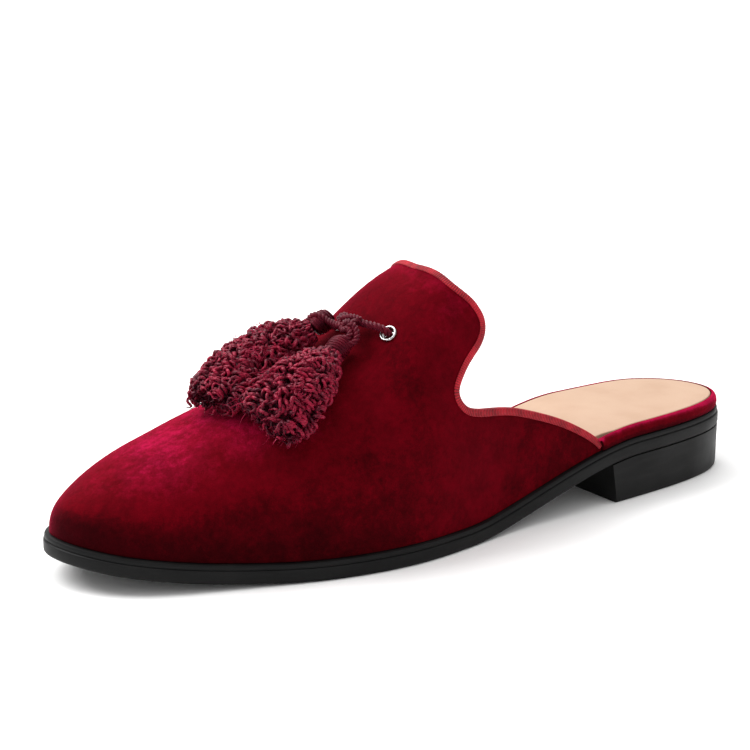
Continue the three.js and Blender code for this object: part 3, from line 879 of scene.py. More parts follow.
@dataclass(frozen=True)
class SoleRubber(Finish):
    """Black sole edge, burnished, with fine scuffs along it."""

    name: str = "black_sole"
    dark: Colour = (7, 7, 8)
    body: Colour = (13, 13, 13)
    worn: Colour = (28, 27, 27)

    def make(self, graph: Graph) -> bpy.types.Material:
        """Streaks along the edge, dust and a soft gloss."""
        streaks = graph.noise(2.2, 3.0, 0.55, graph.stretch(graph.place, (0.12, 0.12, 1.0)))
        dust = graph.noise(0.6, 3.0, 0.6)
        clouds = graph.noise(14.0, 3.0)
        tone = graph.weigh((streaks, 0.5), (clouds, 0.3), (dust, 0.2))
        colour = graph.ramp(tone, (0.32, self.dark), (0.52, self.body), (0.78, self.worn))
        relief = graph.bump(streaks, 0.06, 0.4)
        relief = graph.bump(dust, 0.05, 0.5, relief)
        graph.finish(
            Base_Color=colour,
            Roughness=graph.span(clouds, 0.3, 0.7, 0.42, 0.6),
            Specular_IOR_Level=0.14,
            Normal=relief,
        )
        return graph.material


@dataclass(frozen=True)
class RibbedTape(Finish):
    """Bright grosgrain tape."""

    name: str = "ribbed_tape"
    dark: Colour = (84, 0, 12)
    body: Colour = (158, 6, 26)
    light: Colour = (198, 22, 46)
    ribs: float = 400.0

    def make(self, graph: Graph) -> bpy.types.Material:
        """Thread lines, the grooves between the ribs that are in the mesh painted darker as shade, and a
        silky gloss.
        """
        threads = graph.noise(0.3, 2.0, 0.6)
        clouds = graph.noise(6.0, 2.0)
        along = graph.parts(graph.coords.outputs["UV"])["Y"]
        # Painted shade: the grooves between the ribs are darkened in step with the ribs of the mesh
        groove_shade = graph.sums("COSINE", graph.sums("MULTIPLY", along, self.ribs * 2.0 * math.pi), 0.0)
        tone = graph.weigh((threads, 0.5), (clouds, 0.5), (groove_shade, -0.1))
        colour = graph.ramp(tone, (0.34, self.dark), (0.52, self.body), (0.7, self.light))
        graph.finish(
            Base_Color=colour,
            Roughness=0.62,
            Specular_IOR_Level=0.3,
            Sheen_Weight=0.25,
            Sheen_Roughness=0.4,
            Sheen_Tint=srgb(255, 120, 140),
            Normal=graph.bump(threads, 0.05, 0.5),
        )
        return graph.material


@dataclass(frozen=True)
class SilkThread(Finish):
    """Dark silky thread, painted lighter or darker by the mesh's tone (painted highlight and shade on the
    coils).
    """

    name: str = "silk_thread"
    dark: Colour = (30, 0, 7)
    body: Colour = (66, 4, 15)
    light: Colour = (112, 18, 34)
    filaments: float = 9.0
    cloud_mm: float = 5.0
    gloss: float = 0.4

    def make(self, graph: Graph) -> bpy.types.Material:
        """Filaments that wind along each strand."""
        strand = graph.coords.outputs["UV"]
        axes = graph.parts(strand)
        turn = graph.sums("ADD", graph.sums("MULTIPLY", axes["X"], self.filaments), axes["Y"])
        wave = graph.sums("SINE", graph.sums("MULTIPLY", turn, 2.0 * math.pi), 0.0)
        fuzz = graph.noise(0.5, 2.0, 0.6)
        clouds = graph.noise(self.cloud_mm, 3.0)
        tone = graph.weigh((clouds, 0.6), (fuzz, 0.4), (wave, 0.05))
        # Painted shade and highlight that the mesh carries as its tone
        strands = graph.node("ShaderNodeAttribute")
        strands.attribute_name = "tone"
        tone = graph.sums("ADD", tone, strands.outputs["Fac"])
        colour = graph.ramp(tone, (0.34, self.dark), (0.52, self.body), (0.72, self.light))
        relief = graph.bump(wave, 0.05, 0.6)
        relief = graph.bump(fuzz, 0.06, 0.5, relief)
        graph.finish(
            Base_Color=colour,
            Roughness=0.38,
            Specular_IOR_Level=self.gloss,
            Specular_Tint=srgb(255, 130, 160),
            Sheen_Weight=0.2,
            Sheen_Roughness=0.35,
            Sheen_Tint=srgb(255, 60, 110),
            Normal=relief,
        )
        return graph.material


@dataclass(frozen=True)
class Silver(Finish):
    """Plated metal, brushed by wear."""

    name: str = "plated_metal"
    bright: Colour = (222, 222, 224)
    dull: Colour = (140, 138, 138)

    def make(self, graph: Graph) -> bpy.types.Material:
        """Fine scratches and clouding."""
        wear = graph.noise(1.1, 3.0)
        scratch = graph.noise(0.25, 2.0)
        graph.finish(
            Base_Color=graph.ramp(wear, (0.35, self.dull), (0.6, self.bright)),
            Metallic=1.0,
            Roughness=graph.span(scratch, 0.3, 0.7, 0.16, 0.34),
            Normal=graph.bump(scratch, 0.02, 0.3),
        )
        return graph.material


@dataclass(frozen=True)
class PaleFloor(Finish):
    """Matt white floor."""

    name: str = "pale_floor"

    def make(self, graph: Graph) -> bpy.types.Material:
        """White with the least trace of tooth."""
        tooth = graph.noise(30.0, 2.0)
        graph.finish(
            Base_Color=graph.ramp(tooth, (0.0, (250, 249, 248)), (1.0, (254, 254, 254))),
            Roughness=0.9,
            Specular_IOR_Level=0.1,
        )
        return graph.material


VELVET = Velvet()
LINING = Leather(name="tan_lining")
FOOTBED = Leather()
SOLE = SoleRubber()
CORD = SilkThread()
CURL = SilkThread("curl_yarn", (20, 0, 4), (68, 2, 16), (142, 22, 48), filaments=3.0, cloud_mm=3.5, gloss=0.5)
# Darker copy of the curl yarn: painted shade for the deep layer of curls and the core
SHADED_CURL = SilkThread("shaded_curl_yarn", (8, 0, 2), (24, 0, 5), (48, 2, 12), filaments=3.0, gloss=0.2)
FLUFF = SilkThread("loose_fibre", (112, 10, 32), (164, 30, 62), (206, 84, 116), filaments=2.0)
METAL = Silver()


def dress(piece: bpy.types.Object, *finishes: Finish) -> None:
    """Gives a piece its finishes, in the order of its material slots."""
    piece.data.materials.clear()
    for finish in finishes:
        piece.data.materials.append(finish.material())


# The slipper's pieces


def slab(
    name: str,
    last: Last,
    profile: Sequence[tuple[np.ndarray, np.ndarray, np.ndarray]],
    ends: float | Sequence[float],
) -> bpy.types.Object:
    """A closed slab that follows the plan.

    Args:
        name: name of the piece.
        last: the foot form.
        profile: from the bottom up, the insets of the outer and inner edge and the height, at each station.
        ends: share of the length where the slab ends, for all of it or for each level.

    Returns:
        The piece.
    """
    stations = len(profile[0][2])
    rings = []
    for (outer, inner, height), end in zip(profile, np.broadcast_to(ends, len(profile))):
        at = share_of(np.linspace(0.0, float(angle_of(end)), stations))
        left = last.edge(Side.OUTER, at, outer, height)
        right = last.edge(Side.INNER, at, inner, height)
        rings.append((left, right))
    loops = np.array([np.vstack([left, right[::-1], left[:1]]) for left, right in rings])
    across = np.linspace(0.0, 1.0, 13)[None, :, None]
    parts = [patch(name, loops)]
    for left, right in (rings[0], rings[-1]):
        parts.append(patch(name, left[:, None] * (1.0 - across) + right[:, None] * across))
    return weld(name, parts)


@dataclass
class Sole:
    """Outsole with its lip, and the heel under it."""

    last: Last
    stations: int = 150
    heel_end: tuple[float, float] = (0.246, 0.256)
    heel_inset: tuple[float, float] = (0.5, 0.15)
    heel_seam: float = 0.04
    heel_stations: int = 70
    # Side of the heel from the floor up: share of its height, extra inset
    heel_side: Table = (
        (0.0, 2.4),
        (0.0, 0.9),
        (0.012, 0.42),
        (0.05, 0.1),
        (0.1, 0.0),
        (0.2, 0.0),
        (0.4, 0.0),
        (0.6, 0.0),
        (0.8, 0.0),
        (0.97, 0.0),
        (0.995, 0.06),
        (1.0, 0.2),
        (1.0, 2.0),
    )
    # Edge of the outsole from the floor up: inset, height
    edge: Table = (
        (3.0, 0.0),
        (1.3, 0.02),
        (0.8, 0.12),
        (0.4, 0.36),
        (0.12, 0.8),
        (0.0, 1.4),
        (0.0, 4.3),
        (0.06, 4.75),
        (0.3, 5.0),
        (0.75, 5.12),
        (0.75, 5.3),
        (0.5, 5.45),
        (0.45, 5.9),
        (0.5, 6.6),
        (0.75, 7.0),
        (1.3, 7.2),
        (3.0, 7.2),
    )

    def build(self) -> list[bpy.types.Object]:
        """Makes the outsole and the heel."""
        at = share_of(np.linspace(0.0, math.pi, self.stations))
        floor = self.last.underside(at)
        rows = [(np.full_like(at, inset), np.full_like(at, inset), floor + rise) for inset, rise in self.edge]
        outsole = slab("outsole_edge", self.last, rows, 1.0)
        return [outsole, self.build_heel()]

    def build_heel(self) -> bpy.types.Object:
        """Makes the heel block, its breast sloped back towards the floor."""
        top_at = share_of(np.linspace(0.0, float(angle_of(self.heel_end[1])), self.heel_stations))
        top = self.last.underside(top_at) - self.heel_seam
        rows, ends = [], []
        for rise, extra in self.heel_side:
            inset = np.full(self.heel_stations, lerp(*self.heel_inset, rise) + extra)
            rows.append((inset, inset, top * rise))
            ends.append(lerp(*self.heel_end, rise))
        return slab("heel_block", self.last, rows, ends)

    def dress(self, pieces: Sequence[bpy.types.Object]) -> None:
        """Blackens the edges and hangs the pieces on the shoe."""
        for piece, node in zip(pieces, ("outsole", "heel")):
            smooth(piece, 35.0)
            dress(piece, SOLE)
            ride(piece, Slot.SOLE, node)


@dataclass
class Footbed:
    """Leather-covered insole, and the velvet band round the heel seat."""

    last: Last
    stations: int = 150
    inset: tuple[float, float] = (3.4, 5.6)
    change: float = 0.03
    band_end: tuple[float, float] = (0.2682, 0.3182)
    band_lap: float = 0.012
    binding: float = 1.15
    band_stations: int = 110
    band_least: float = 0.1
    # Foot of the insole: extra insets; and its edge: extra inset, depth under the footbed's face
    foot: tuple[float, float] = (2.0, 0.0)
    edge: Table = ((0.0, 0.5), (0.04, 0.28), (0.16, 0.11), (0.36, 0.02), (0.8, 0.0), (2.4, 0.0))
    # Section of the band: inset from the sole's edge, height over the sole
    band: Table = (
        (3.1, 0.3),
        (1.2, 0.3),
        (0.86, 1.0),
        (0.7, 2.0),
        (0.74, 2.8),
        (0.92, 3.6),
        (1.24, 4.3),
        (1.68, 4.8),
        (2.15, 5.1),
        (2.6, 5.2),
        (2.95, 5.12),
        (3.1, 4.9),
        (3.1, 0.3),
    )

    def build(self) -> list[bpy.types.Object]:
        """Makes the insole and the band."""
        at = share_of(np.linspace(0.0, math.pi, self.stations))
        base, face = self.last.feather(at), self.last.footbed(at)
        steps = [smoothstep(at, end - self.change, end) for end in self.band_end]
        outer, inner = (lerp(*self.inset, step) for step in steps)
        rows = [(outer + extra, inner + extra, base) for extra in self.foot]
        rows += [(outer + extra, inner + extra, face - drop) for extra, drop in self.edge]
        return [slab("insole_leather", self.last, rows, 1.0), self.build_band()]

    def slope(self, side: Side) -> np.ndarray:
        """Line of the binding's face where it slopes down to the sole at the end of a quarter."""
        line = np.array([self.last.rib(share, side, 2)[-1, :3] for share in np.linspace(0.0, 0.2, 40)])
        return line[np.argsort(line[:, 0])] + (0.0, 0.0, self.binding)

    def build_band(self) -> bpy.types.Object:
        """Makes the velvet band from one quarter round the heel to the other, lapping over the bindings."""
        rows = []
        for side, end in zip(Side, self.band_end):
            at = share_of(np.linspace(0.0, float(angle_of(end + self.band_lap)), self.band_stations))
            rows.append([(side, share) for share in (at[::-1] if side is Side.OUTER else at[1:])])
        section = np.array(self.band)
        low, high = section[:, 1].min(), section[:, 1].max()
        slopes = {side: self.slope(side) for side in Side}
        rings = []
        for side, at in rows[0] + rows[1]:
            base, line = float(self.last.sole_top(at)), slopes[side]
            over = np.interp(self.last.along(at), line[:, 0], line[:, 2], left=0.0)
            lift = np.clip(over - base, low, high - self.band_least)
            height = lift + (section[:, 1] - low) * (high - lift) / (high - low)
            rings.append(self.last.edge(side, np.full(len(section), at), section[:, 0], base + height))
        rings = np.array(rings)
        piece = patch("heel_band", rings)
        parts = [piece]
        for ring in (rings[0], rings[-1]):
            middle = ring[:-1].mean(axis=0)
            parts.append(patch("heel_band_end", np.stack([ring, np.broadcast_to(middle, ring.shape)])))
        return weld("heel_band", parts)

    def dress(self, pieces: Sequence[bpy.types.Object]) -> None:
        """Covers the insole in leather and the band in velvet."""
        insole, band = pieces
        smooth(insole, 35.0)
        dress(insole, FOOTBED)
        ride(insole, Slot.FOOTBED, "insole")
        smooth(band, 60.0)
        dress(band, VELVET)
        ride(band, Slot.VELVET, "heel_rand")


@dataclass(frozen=True)
class Crease:
    """A soft trough or ridge in the velvet, placed on the upper."""

    at: float
    turn: float
    heading: float
    run: float
    wide: float
    rise: float

    def lift(self, last: Last, points: np.ndarray) -> np.ndarray:
        """How far it moves points of the upper outward.

        Args:
            last: the foot form.
            points: points of the outer face.

        Returns:
            A distance for each point.
        """
        at, turn = np.array([self.at]), np.array([self.turn])
        middle, out = last.upper(at, turn)[0], last.normal(at, turn)[0]
        forward = last.upper(at + 0.004, turn)[0] - last.upper(at - 0.004, turn)[0]
        forward = unit(forward - out * np.dot(out, forward))
        angle = math.radians(self.heading)
        way = forward * math.cos(angle) + np.cross(out, forward) * math.sin(angle)
        gone = points - middle
        length = gone @ way / self.run
        width = gone @ np.cross(out, way) / self.wide
        depth = gone @ out / (self.run + self.wide)
        return self.rise * np.exp(-(length**2) - width**2 - depth**2)


@dataclass
class Upper:
    """The velvet upper: vamp, tongue and quarters in one hollow shell, bound along its top edge."""

    last: Last
    wall: float = 2.0
    ribs: int = 288
    steps: int = 60
    hole: float = 2.7
    tape_thick: float = 0.7
    tape_wide: float = 1.9
    rib_pitch: float = 0.85
    rib_depth: float = 0.2
    tape_ribs: float = 0.0
    eyelets: Table = EYELET_PLACES
    creases: tuple[Crease, ...] = (
        Crease(0.60, 40.0, 70.0, 26.0, 9.0, -0.7),
        Crease(0.645, 34.0, 62.0, 24.0, 7.0, 0.55),
        Crease(0.70, 40.0, 74.0, 22.0, 8.0, -0.55),
        Crease(0.56, 52.0, 20.0, 22.0, 8.0, 0.5),
        Crease(0.84, 96.0, 88.0, 22.0, 9.0, -0.45),
        Crease(0.80, 60.0, 80.0, 20.0, 8.0, 0.4),
        Crease(0.62, 138.0, 110.0, 26.0, 9.0, -0.7),
        Crease(0.68, 142.0, 104.0, 24.0, 8.0, 0.55),
        Crease(0.42, 8.0, 10.0, 24.0, 6.0, -0.4),
    )

    def face(self, ribs: int, steps: int) -> np.ndarray:
        """Outer face with its creases, as ribs by steps by three."""
        grid = self.last.ribs(ribs, steps)[..., :3]
        out = grid_normals(grid)
        lift = sum(crease.lift(self.last, grid) for crease in self.creases)
        keep = np.minimum(np.linspace(0.0, 1.0, steps + 1) * 8.0, 1.0)
        keep = keep * np.minimum(np.linspace(1.0, 0.0, steps + 1) * 8.0, 1.0)
        return grid + out * (lift * keep)[..., None]

    def build(self) -> list[bpy.types.Object]:
        """Makes the shell and its binding."""
        face = self.face(self.ribs, self.steps)
        shell = patch("upper_velvet", face)
        pick(shell)
        dress(shell, VELVET, LINING)
        self.turn_out(shell, face)
        apply_modifier(
            shell,
            "SOLIDIFY",
            thickness=self.wall * MM,
            offset=-1.0,
            material_offset=1,
            use_even_offset=False,
        )
        for at, turn in self.eyelets:
            self.punch(shell, at, turn)
        return [shell, self.build_binding()]

    def turn_out(self, shell: bpy.types.Object, face: np.ndarray) -> None:
        """Turns the faces of the open shell away from the foot."""
        middle = face[len(face) // 2, self.steps // 2]
        polygon = min(shell.data.polygons, key=lambda p: (p.center - Vector(middle * MM)).length)
        if polygon.normal.dot(Vector((0.3, 0.0, 1.0))) < 0.0:
            pick(shell)
            bpy.ops.object.mode_set(mode="EDIT")
            bpy.ops.mesh.select_all(action="SELECT")
            bpy.ops.mesh.flip_normals()
            bpy.ops.object.mode_set(mode="OBJECT")

    def punch(self, shell: bpy.types.Object, at: float, turn: float) -> None:
        """Cuts the hole for an eyelet."""
        point = self.last.upper(np.array([at]), np.array([turn]))[0] * MM
        way = Vector(self.last.normal(np.array([at]), np.array([turn]))[0])
        deselect()
        bpy.ops.mesh.primitive_cylinder_add(
            vertices=48,
            radius=self.hole * MM,
            depth=self.wall * 5.0 * MM,
            location=point,
            rotation=way.to_track_quat("Z", "Y").to_euler(),
        )
        punch = bpy.context.object
        apply_modifier(shell, "BOOLEAN", operation="DIFFERENCE", solver="EXACT", object=punch)
        bpy.data.objects.remove(punch)

    def build_binding(self) -> bpy.types.Object:
        """Makes the tape folded over the top edge, with its cross ribs."""
        gap, thick, wide = self.last.gap * 0.3, self.tape_thick, self.tape_wide
        face = self.last.ribs(self.ribs * 2, 24)[..., :3]
        out = grid_normals(face)[:, -1]
        edge = face[:, -1]
        length = walked(edge)
        count = int(length[-1] / self.rib_pitch) * 6
        shares = np.linspace(0.0, 1.0, count)
        station = resample(edge, shares)
        out = unit(resample_with(out, length, shares))
        before = resample_with(face[:, -2], length, shares)
        ahead = unit(np.gradient(station, axis=0))
        inward = unit(np.cross(out, ahead))
        inward = inward * np.sign(np.sum(inward * (before - station), axis=1))[:, None]
        self.tape_ribs = float(length[-1] / self.rib_pitch)
        beat = 0.5 - 0.5 * np.cos(shares * self.tape_ribs * 2.0 * math.pi)
        swell = self.rib_depth * (beat**0.7 - 1.0)
        fold, back = -self.last.gap - thick, -self.wall - gap
        # Channel round the edge: depth below it, distance out of the velvet, share of the rib's swell
        channel = (
            (wide, gap, 0.0),
            (wide + 0.12, gap + thick * 0.5, 0.4),
            (wide - 0.1, gap + thick * 0.92, 1.0),
            (wide * 0.5, gap + thick, 1.0),
            (0.4, gap + thick, 1.0),
            (fold * 0.45, gap + thick * 0.72, 1.0),
            (fold * 0.85, gap + thick * 0.1, 1.0),
            (fold, -self.wall * 0.5, 1.0),
            (fold * 0.85, back - thick * 0.1, 1.0),
            (fold * 0.45, back - thick * 0.72, 1.0),
            (0.4, back - thick, 1.0),
            (wide * 0.5, back - thick, 1.0),
            (wide - 0.1, back - thick * 0.92, 1.0),
            (wide + 0.12, back - thick * 0.5, 0.4),
            (wide, back, 0.0),
            (0.0, back, 0.0),
            (0.0, gap, 0.0),
            (wide, gap, 0.0),
        )
        rings = []
        for deep, far, share in channel:
            centre = np.array([deep * 0.6, -self.wall * 0.5])
            pull = np.array([deep, far]) - centre
            pull = pull / max(np.linalg.norm(pull), 1e-6)
            move = np.array([deep, far]) + pull * swell[:, None] * share
            rings.append(station + inward * move[:, :1] + out * move[:, 1:])
        rings = np.array(rings).transpose(1, 0, 2)
        floor = self.last.feather(rings[..., 0] / self.last.length + 0.5)
        rings[..., 2] = np.maximum(rings[..., 2], floor)
        parts = [patch("tape", rings)]
        for ring in (rings[0], rings[-1]):
            rails = np.stack([ring[:8], ring[16:8:-1]])
            parts.append(patch("tape_end", rails))
        return weld("topline_tape", parts, 1e-4)

    def dress(self, pieces: Sequence[bpy.types.Object]) -> None:
        """Hangs the shell and the tape on the shoe."""
        shell, tape = pieces
        smooth(shell, 50.0)
        ride(shell, Slot.VELVET, "upper")
        smooth(tape, 70.0)
        dress(tape, RibbedTape(ribs=self.tape_ribs))
        ride(tape, Slot.TAPE, "topline_binding")


@dataclass
class Eyelets:
    """Rolled metal eyelets that the lace runs through."""

    last: Last
    places: Table = EYELET_PLACES
    spokes: int = 57
    # Section of the eyelet: radius, height over the velvet
    section: Table = (
        (2.25, -2.3),
        (2.6, -2.3),
        (2.6, 0.1),
        (3.1, 0.1),
        (3.25, 0.24),
        (3.28, 0.42),
        (3.2, 0.66),
        (3.02, 0.84),
        (2.8, 0.9),
        (2.56, 0.82),
        (2.38, 0.62),
        (2.28, 0.3),
        (2.25, -0.2),
        (2.25, -2.3),
    )

    def build(self) -> list[bpy.types.Object]:
        """Makes one eyelet for each side."""
        pieces = []
        for (at, turn), side in zip(self.places, Side):
            where = (np.array([at]), np.array([turn]))
            point, way = self.last.upper(*where)[0], self.last.normal(*where)[0]
            first = unit(np.cross(way, (0.0, 1.0, 0.0)))
            second = np.cross(way, first)
            spokes = circle(first, second, self.spokes)
            rings = [point + spokes * radius + way * rise for radius, rise in self.section]
            pieces.append(weld(f"eyelet_ring_{side.value}", [patch("eyelet", np.array(rings))]))
        return pieces

    def dress(self, pieces: Sequence[bpy.types.Object]) -> None:
        """Plates the eyelets."""
        for piece, side in zip(pieces, Side):
            smooth(piece, 40.0)
            dress(piece, METAL)
            ride(piece, Slot.SILVER, f"eyelet_{side.value}")


@dataclass
class Lace:
    """The twisted cord through the eyelets, and the knot where the tassels hang from it."""

    last: Last
    width: float = 3.0
    lay: float = 5.4
    points: int = 260
    loop_width: float = 2.6
    loop_lay: float = 4.6
    loop_points: int = 150
    sides: int = 9
    # Route: share of the length, turn round the arch, lift off the velvet
    route: Table = (
        (0.5905, 85.0, 4.6),
        (0.5895, 83.6, 4.1),
        (0.587, 80.2, 3.5),
        (0.584, 76.6, 3.2),
        (0.5815, 73.4, 2.3),
        (0.5805, 71.8, 0.3),
        (0.5808, 72.2, -2.6),
        (0.582, 74.0, -5.0),
        (0.5845, 77.6, -6.2),
        (0.587, 81.6, -6.4),
        (0.589, 85.4, -6.4),
        (0.591, 89.0, -6.2),
        (0.5925, 92.2, -5.2),
        (0.5933, 94.2, -2.8),
        (0.5935, 94.8, 0.0),
        (0.5928, 94.5, 1.9),
        (0.5908, 93.8, 3.0),
        (0.5888, 92.6, 3.4),
        (0.5888, 90.6, 3.8),
    )
    # Loops of the knot, in the same columns
    loops: tuple[Table, ...] = (
        (
            (0.5885, 83.2, 5.4),
            (0.5895, 86.2, 6.0),
            (0.5925, 88.6, 6.4),
            (0.597, 89.8, 6.4),
            (0.602, 88.8, 6.2),
            (0.6055, 86.2, 6.2),
            (0.6045, 83.6, 7.2),
            (0.6005, 82.2, 8.0),
            (0.5955, 82.6, 7.6),
            (0.5925, 84.6, 5.6),
            (0.5945, 86.6, 4.6),
        ),
        (
            (0.603, 88.0, 4.6),
            (0.6, 86.4, 7.2),
            (0.598, 84.0, 8.2),
            (0.5985, 81.2, 7.6),
            (0.602, 78.8, 6.4),
            (0.607, 77.2, 5.8),
            (0.6125, 77.0, 5.8),
            (0.617, 78.4, 6.4),
            (0.619, 80.6, 6.8),
        ),
        (
            (0.6015, 85.4, 5.0),
            (0.6025, 83.0, 7.2),
            (0.605, 80.8, 7.4),
            (0.6085, 79.4, 7.2),
            (0.6125, 79.4, 7.4),
            (0.616, 80.8, 7.8),
            (0.6185, 82.8, 7.2),
        ),
        (
            (0.6045, 84.6, 4.6),
            (0.604, 87.2, 6.4),
            (0.6045, 89.6, 6.8),
            (0.6045, 91.8, 7.6),
            (0.605, 93.8, 9.4),
            (0.607, 95.6, 10.6),
            (0.6105, 97.4, 10.2),
            (0.6135, 99.2, 8.6),
        ),
        (
            (0.6035, 90.8, 3.8),
            (0.604, 92.6, 4.8),
            (0.6035, 94.6, 6.8),
            (0.6045, 96.8, 8.4),
            (0.6055, 98.8, 8.6),
            (0.609, 100.2, 7.2),
        ),
    )

    def line(self, rows: Table, count: int) -> np.ndarray:
        """Points of a route over the vamp."""
        table = np.array(rows)
        return catmull_rom(self.last.off(table[:, 0], table[:, 1], table[:, 2]), count)

    def build(self) -> list[bpy.types.Object]:
        """Makes the lace and the knot."""
        self.path = self.line(self.route, self.points)
        lace = tubes("lace_cord", *twisted(self.path, self.width, self.lay), self.sides)
        loops = []
        for rows in self.loops:
            line = self.line(rows, self.loop_points)
            loops.append(tubes("lace_loop", *twisted(line, self.loop_width, self.loop_lay), self.sides))
        pick(*loops)
        bpy.ops.object.join()
        loops[0].name = loops[0].data.name = "lace_loops"
        return [lace, loops[0]]

    def dress(self, pieces: Sequence[bpy.types.Object]) -> None:
        """Gives the cord its thread and hangs it on the shoe."""
        lace, knot = pieces
        for piece in pieces:
            dress(piece, CORD)
        ride(lace, Slot.CORD, "lace_left", "lace_right")
        ride(knot, Slot.CORD, "lace_knot")


@dataclass
class Tassel:
    """A wound head with a skirt of curled yarn."""

    last: Last
    side: str
    head: tuple[float, float, float]
    skirt: Table
    seed: int
    head_radius: float = 4.4
    head_length: float = 8.2
    thread: float = 0.48
    spokes: int = 33
    run: tuple[float, float] = (-0.1, 1.05)
    outer_curls: int = 80
    deep_curls: int = 18
    stations: int = 180
    curl_radius: float = 1.5
    yarn: float = 0.64
    pitch: float = 3.3
    # Strength of the painted shade and highlight on the coils
    crest: float = 0.2
    # A curl's spread round the skirt and in reach, its waves along the skirt as number and size, and its neck
    stray: float = 0.32
    uneven: float = 0.05
    wander: tuple[float, float] = (12.0, 0.2)
    bulge: tuple[float, float] = (13.0, 0.08)
    flare: float = 0.25
    # Waves of the coils' turn, of their width and of the yarn's thickness
    wobble: float = 0.9
    loosening: float = 0.3
    slub: float = 0.16
    wisps: int = 26
    tufts: int = 7
    tuft: int = 34

    def build(self) -> list[bpy.types.Object]:
        """Makes the wound head and the skirt."""
        return [self.build_head(), self.build_skirt()]

    def build_head(self) -> bpy.types.Object:
        """Winds thread round a barrel that is drawn in at both ends."""
        centre = self.last.off(*(np.array([v]) for v in self.head))[0]
        start = self.last.off(*(np.array([v]) for v in self.skirt[0]))[0]
        axis = unit(start - centre)
        first = unit(np.cross(axis, (0.0, 0.0, 1.0)))
        second = np.cross(axis, first)
        turns = int(self.head_length / (self.thread * 2.0))
        share = np.linspace(0.0, 1.0, turns * 26)
        profile = NaturalSpline(
            (0.0, 0.06, 0.2, 0.45, 0.75, 0.93, 1.0),
            (0.6, 2.2, 3.5, self.head_radius - self.thread, 3.7, 3.2, 2.9),
        )
        angle = share * turns * 2.0 * math.pi
        out = np.cos(angle)[:, None] * first + np.sin(angle)[:, None] * second
        height = (share - 0.5) * self.head_length
        tilt = 0.5 * np.cos(angle)
        line = centre + axis * (height + tilt)[:, None] + out * profile(share)[:, None]
        winding = tubes("winding", line[None], np.full((1, len(line)), self.thread), out[None], 6)
        around = circle(first, second, self.spokes)
        rings = []
        for s in np.linspace(0.0, 1.0, 17):
            radius = 0.0 if s in (0.0, 1.0) else float(profile(np.array(s)))
            rings.append(centre + axis * (s - 0.5) * self.head_length + around * radius)
        barrel = weld("barrel", [patch("barrel", np.array(rings))])
        smooth(barrel, 60.0)
        return self.gather(f"tassel_winding_{self.side}", [winding, barrel])

    def gather(self, name: str, parts: Sequence[bpy.types.Object]) -> bpy.types.Object:
        """Joins parts of one piece under its name."""
        pick(*parts)
        bpy.ops.object.join()
        parts[0].name = parts[0].data.name = name
        return parts[0]

    def frames(self, share: np.ndarray) -> tuple[np.ndarray, ...]:
        """Middle of the skirt with the directions across and up, and its half width and half height."""
        rows = np.array(self.skirt)
        knots = np.linspace(0.0, 1.0, len(rows))
        at, turn, lift = (NaturalSpline(knots, rows[:, k])(share) for k in range(3))
        middle = self.last.off(at, turn, lift)
        out = self.last.normal(at, turn)
        ahead = unit(np.gradient(middle, axis=0))
        wide = unit(np.cross(out, ahead))
        angle = angle_of(share)
        return middle, wide, np.cross(ahead, wide), column(SKIRT, 1)(angle), column(SKIRT, 2)(angle)

    def build_skirt(self) -> bpy.types.Object:
        """Makes two layers of curls over a core, with loose fibres on them; the deep layer and the core are
        painted dark as shade.
        """
        rng = np.random.default_rng(self.seed)
        outside, lines = self.build_curls(rng, self.outer_curls, 0.96)
        deep, _ = self.build_curls(rng, self.deep_curls, 0.66)
        core, fibres = self.build_core(), self.build_fibres(rng, lines)
        # The deep curls and the core take the darker yarn as painted shade
        for part, finish in ((outside, CURL), (deep, SHADED_CURL), (core, SHADED_CURL), (fibres, FLUFF)):
            dress(part, finish)
        return self.gather(f"tassel_curls_{self.side}", [outside, deep, core, fibres])

    def build_curls(
        self, rng: np.random.Generator, count: int, layer: float
    ) -> tuple[bpy.types.Object, np.ndarray]:
        """Makes one layer of curls.

        Args:
            rng: source of the small differences between curls.
            count: number of curls.
            layer: reach of the layer, as a share of the skirt's half sizes.

        Returns:
            The curls in one mesh, and their points.
        """
        share = np.linspace(*self.run, self.stations)
        frames = self.frames(share)
        lines, radii, ups, painted_shading = [], [], [], []
        for k in range(count):
            line, out, spine = self.curl(rng, share, frames, layer, k)
            lines.append(line)
            ups.append(out)
            away = unit(spine - frames[0])
            # Painted shade and highlight: coils that turn out of the skirt are lighter, coils that turn in
            # towards its middle darker
            painted_shading.append(self.crest * (np.sum(out * away, axis=1) - 0.25))
            ends = smoothstep(np.linspace(1.0, 0.0, len(line)), 0.0, 0.03)
            thick = 1.0 + ripple(rng, np.arange(len(line)), rng.uniform(0.25, 0.45), self.slub)
            radii.append(self.yarn * rng.uniform(0.82, 1.12) * thick * (0.25 + 0.75 * ends))
        curls = tubes("curls", np.array(lines), np.array(radii), np.array(ups), 5, np.array(painted_shading))
        return curls, np.array(lines)

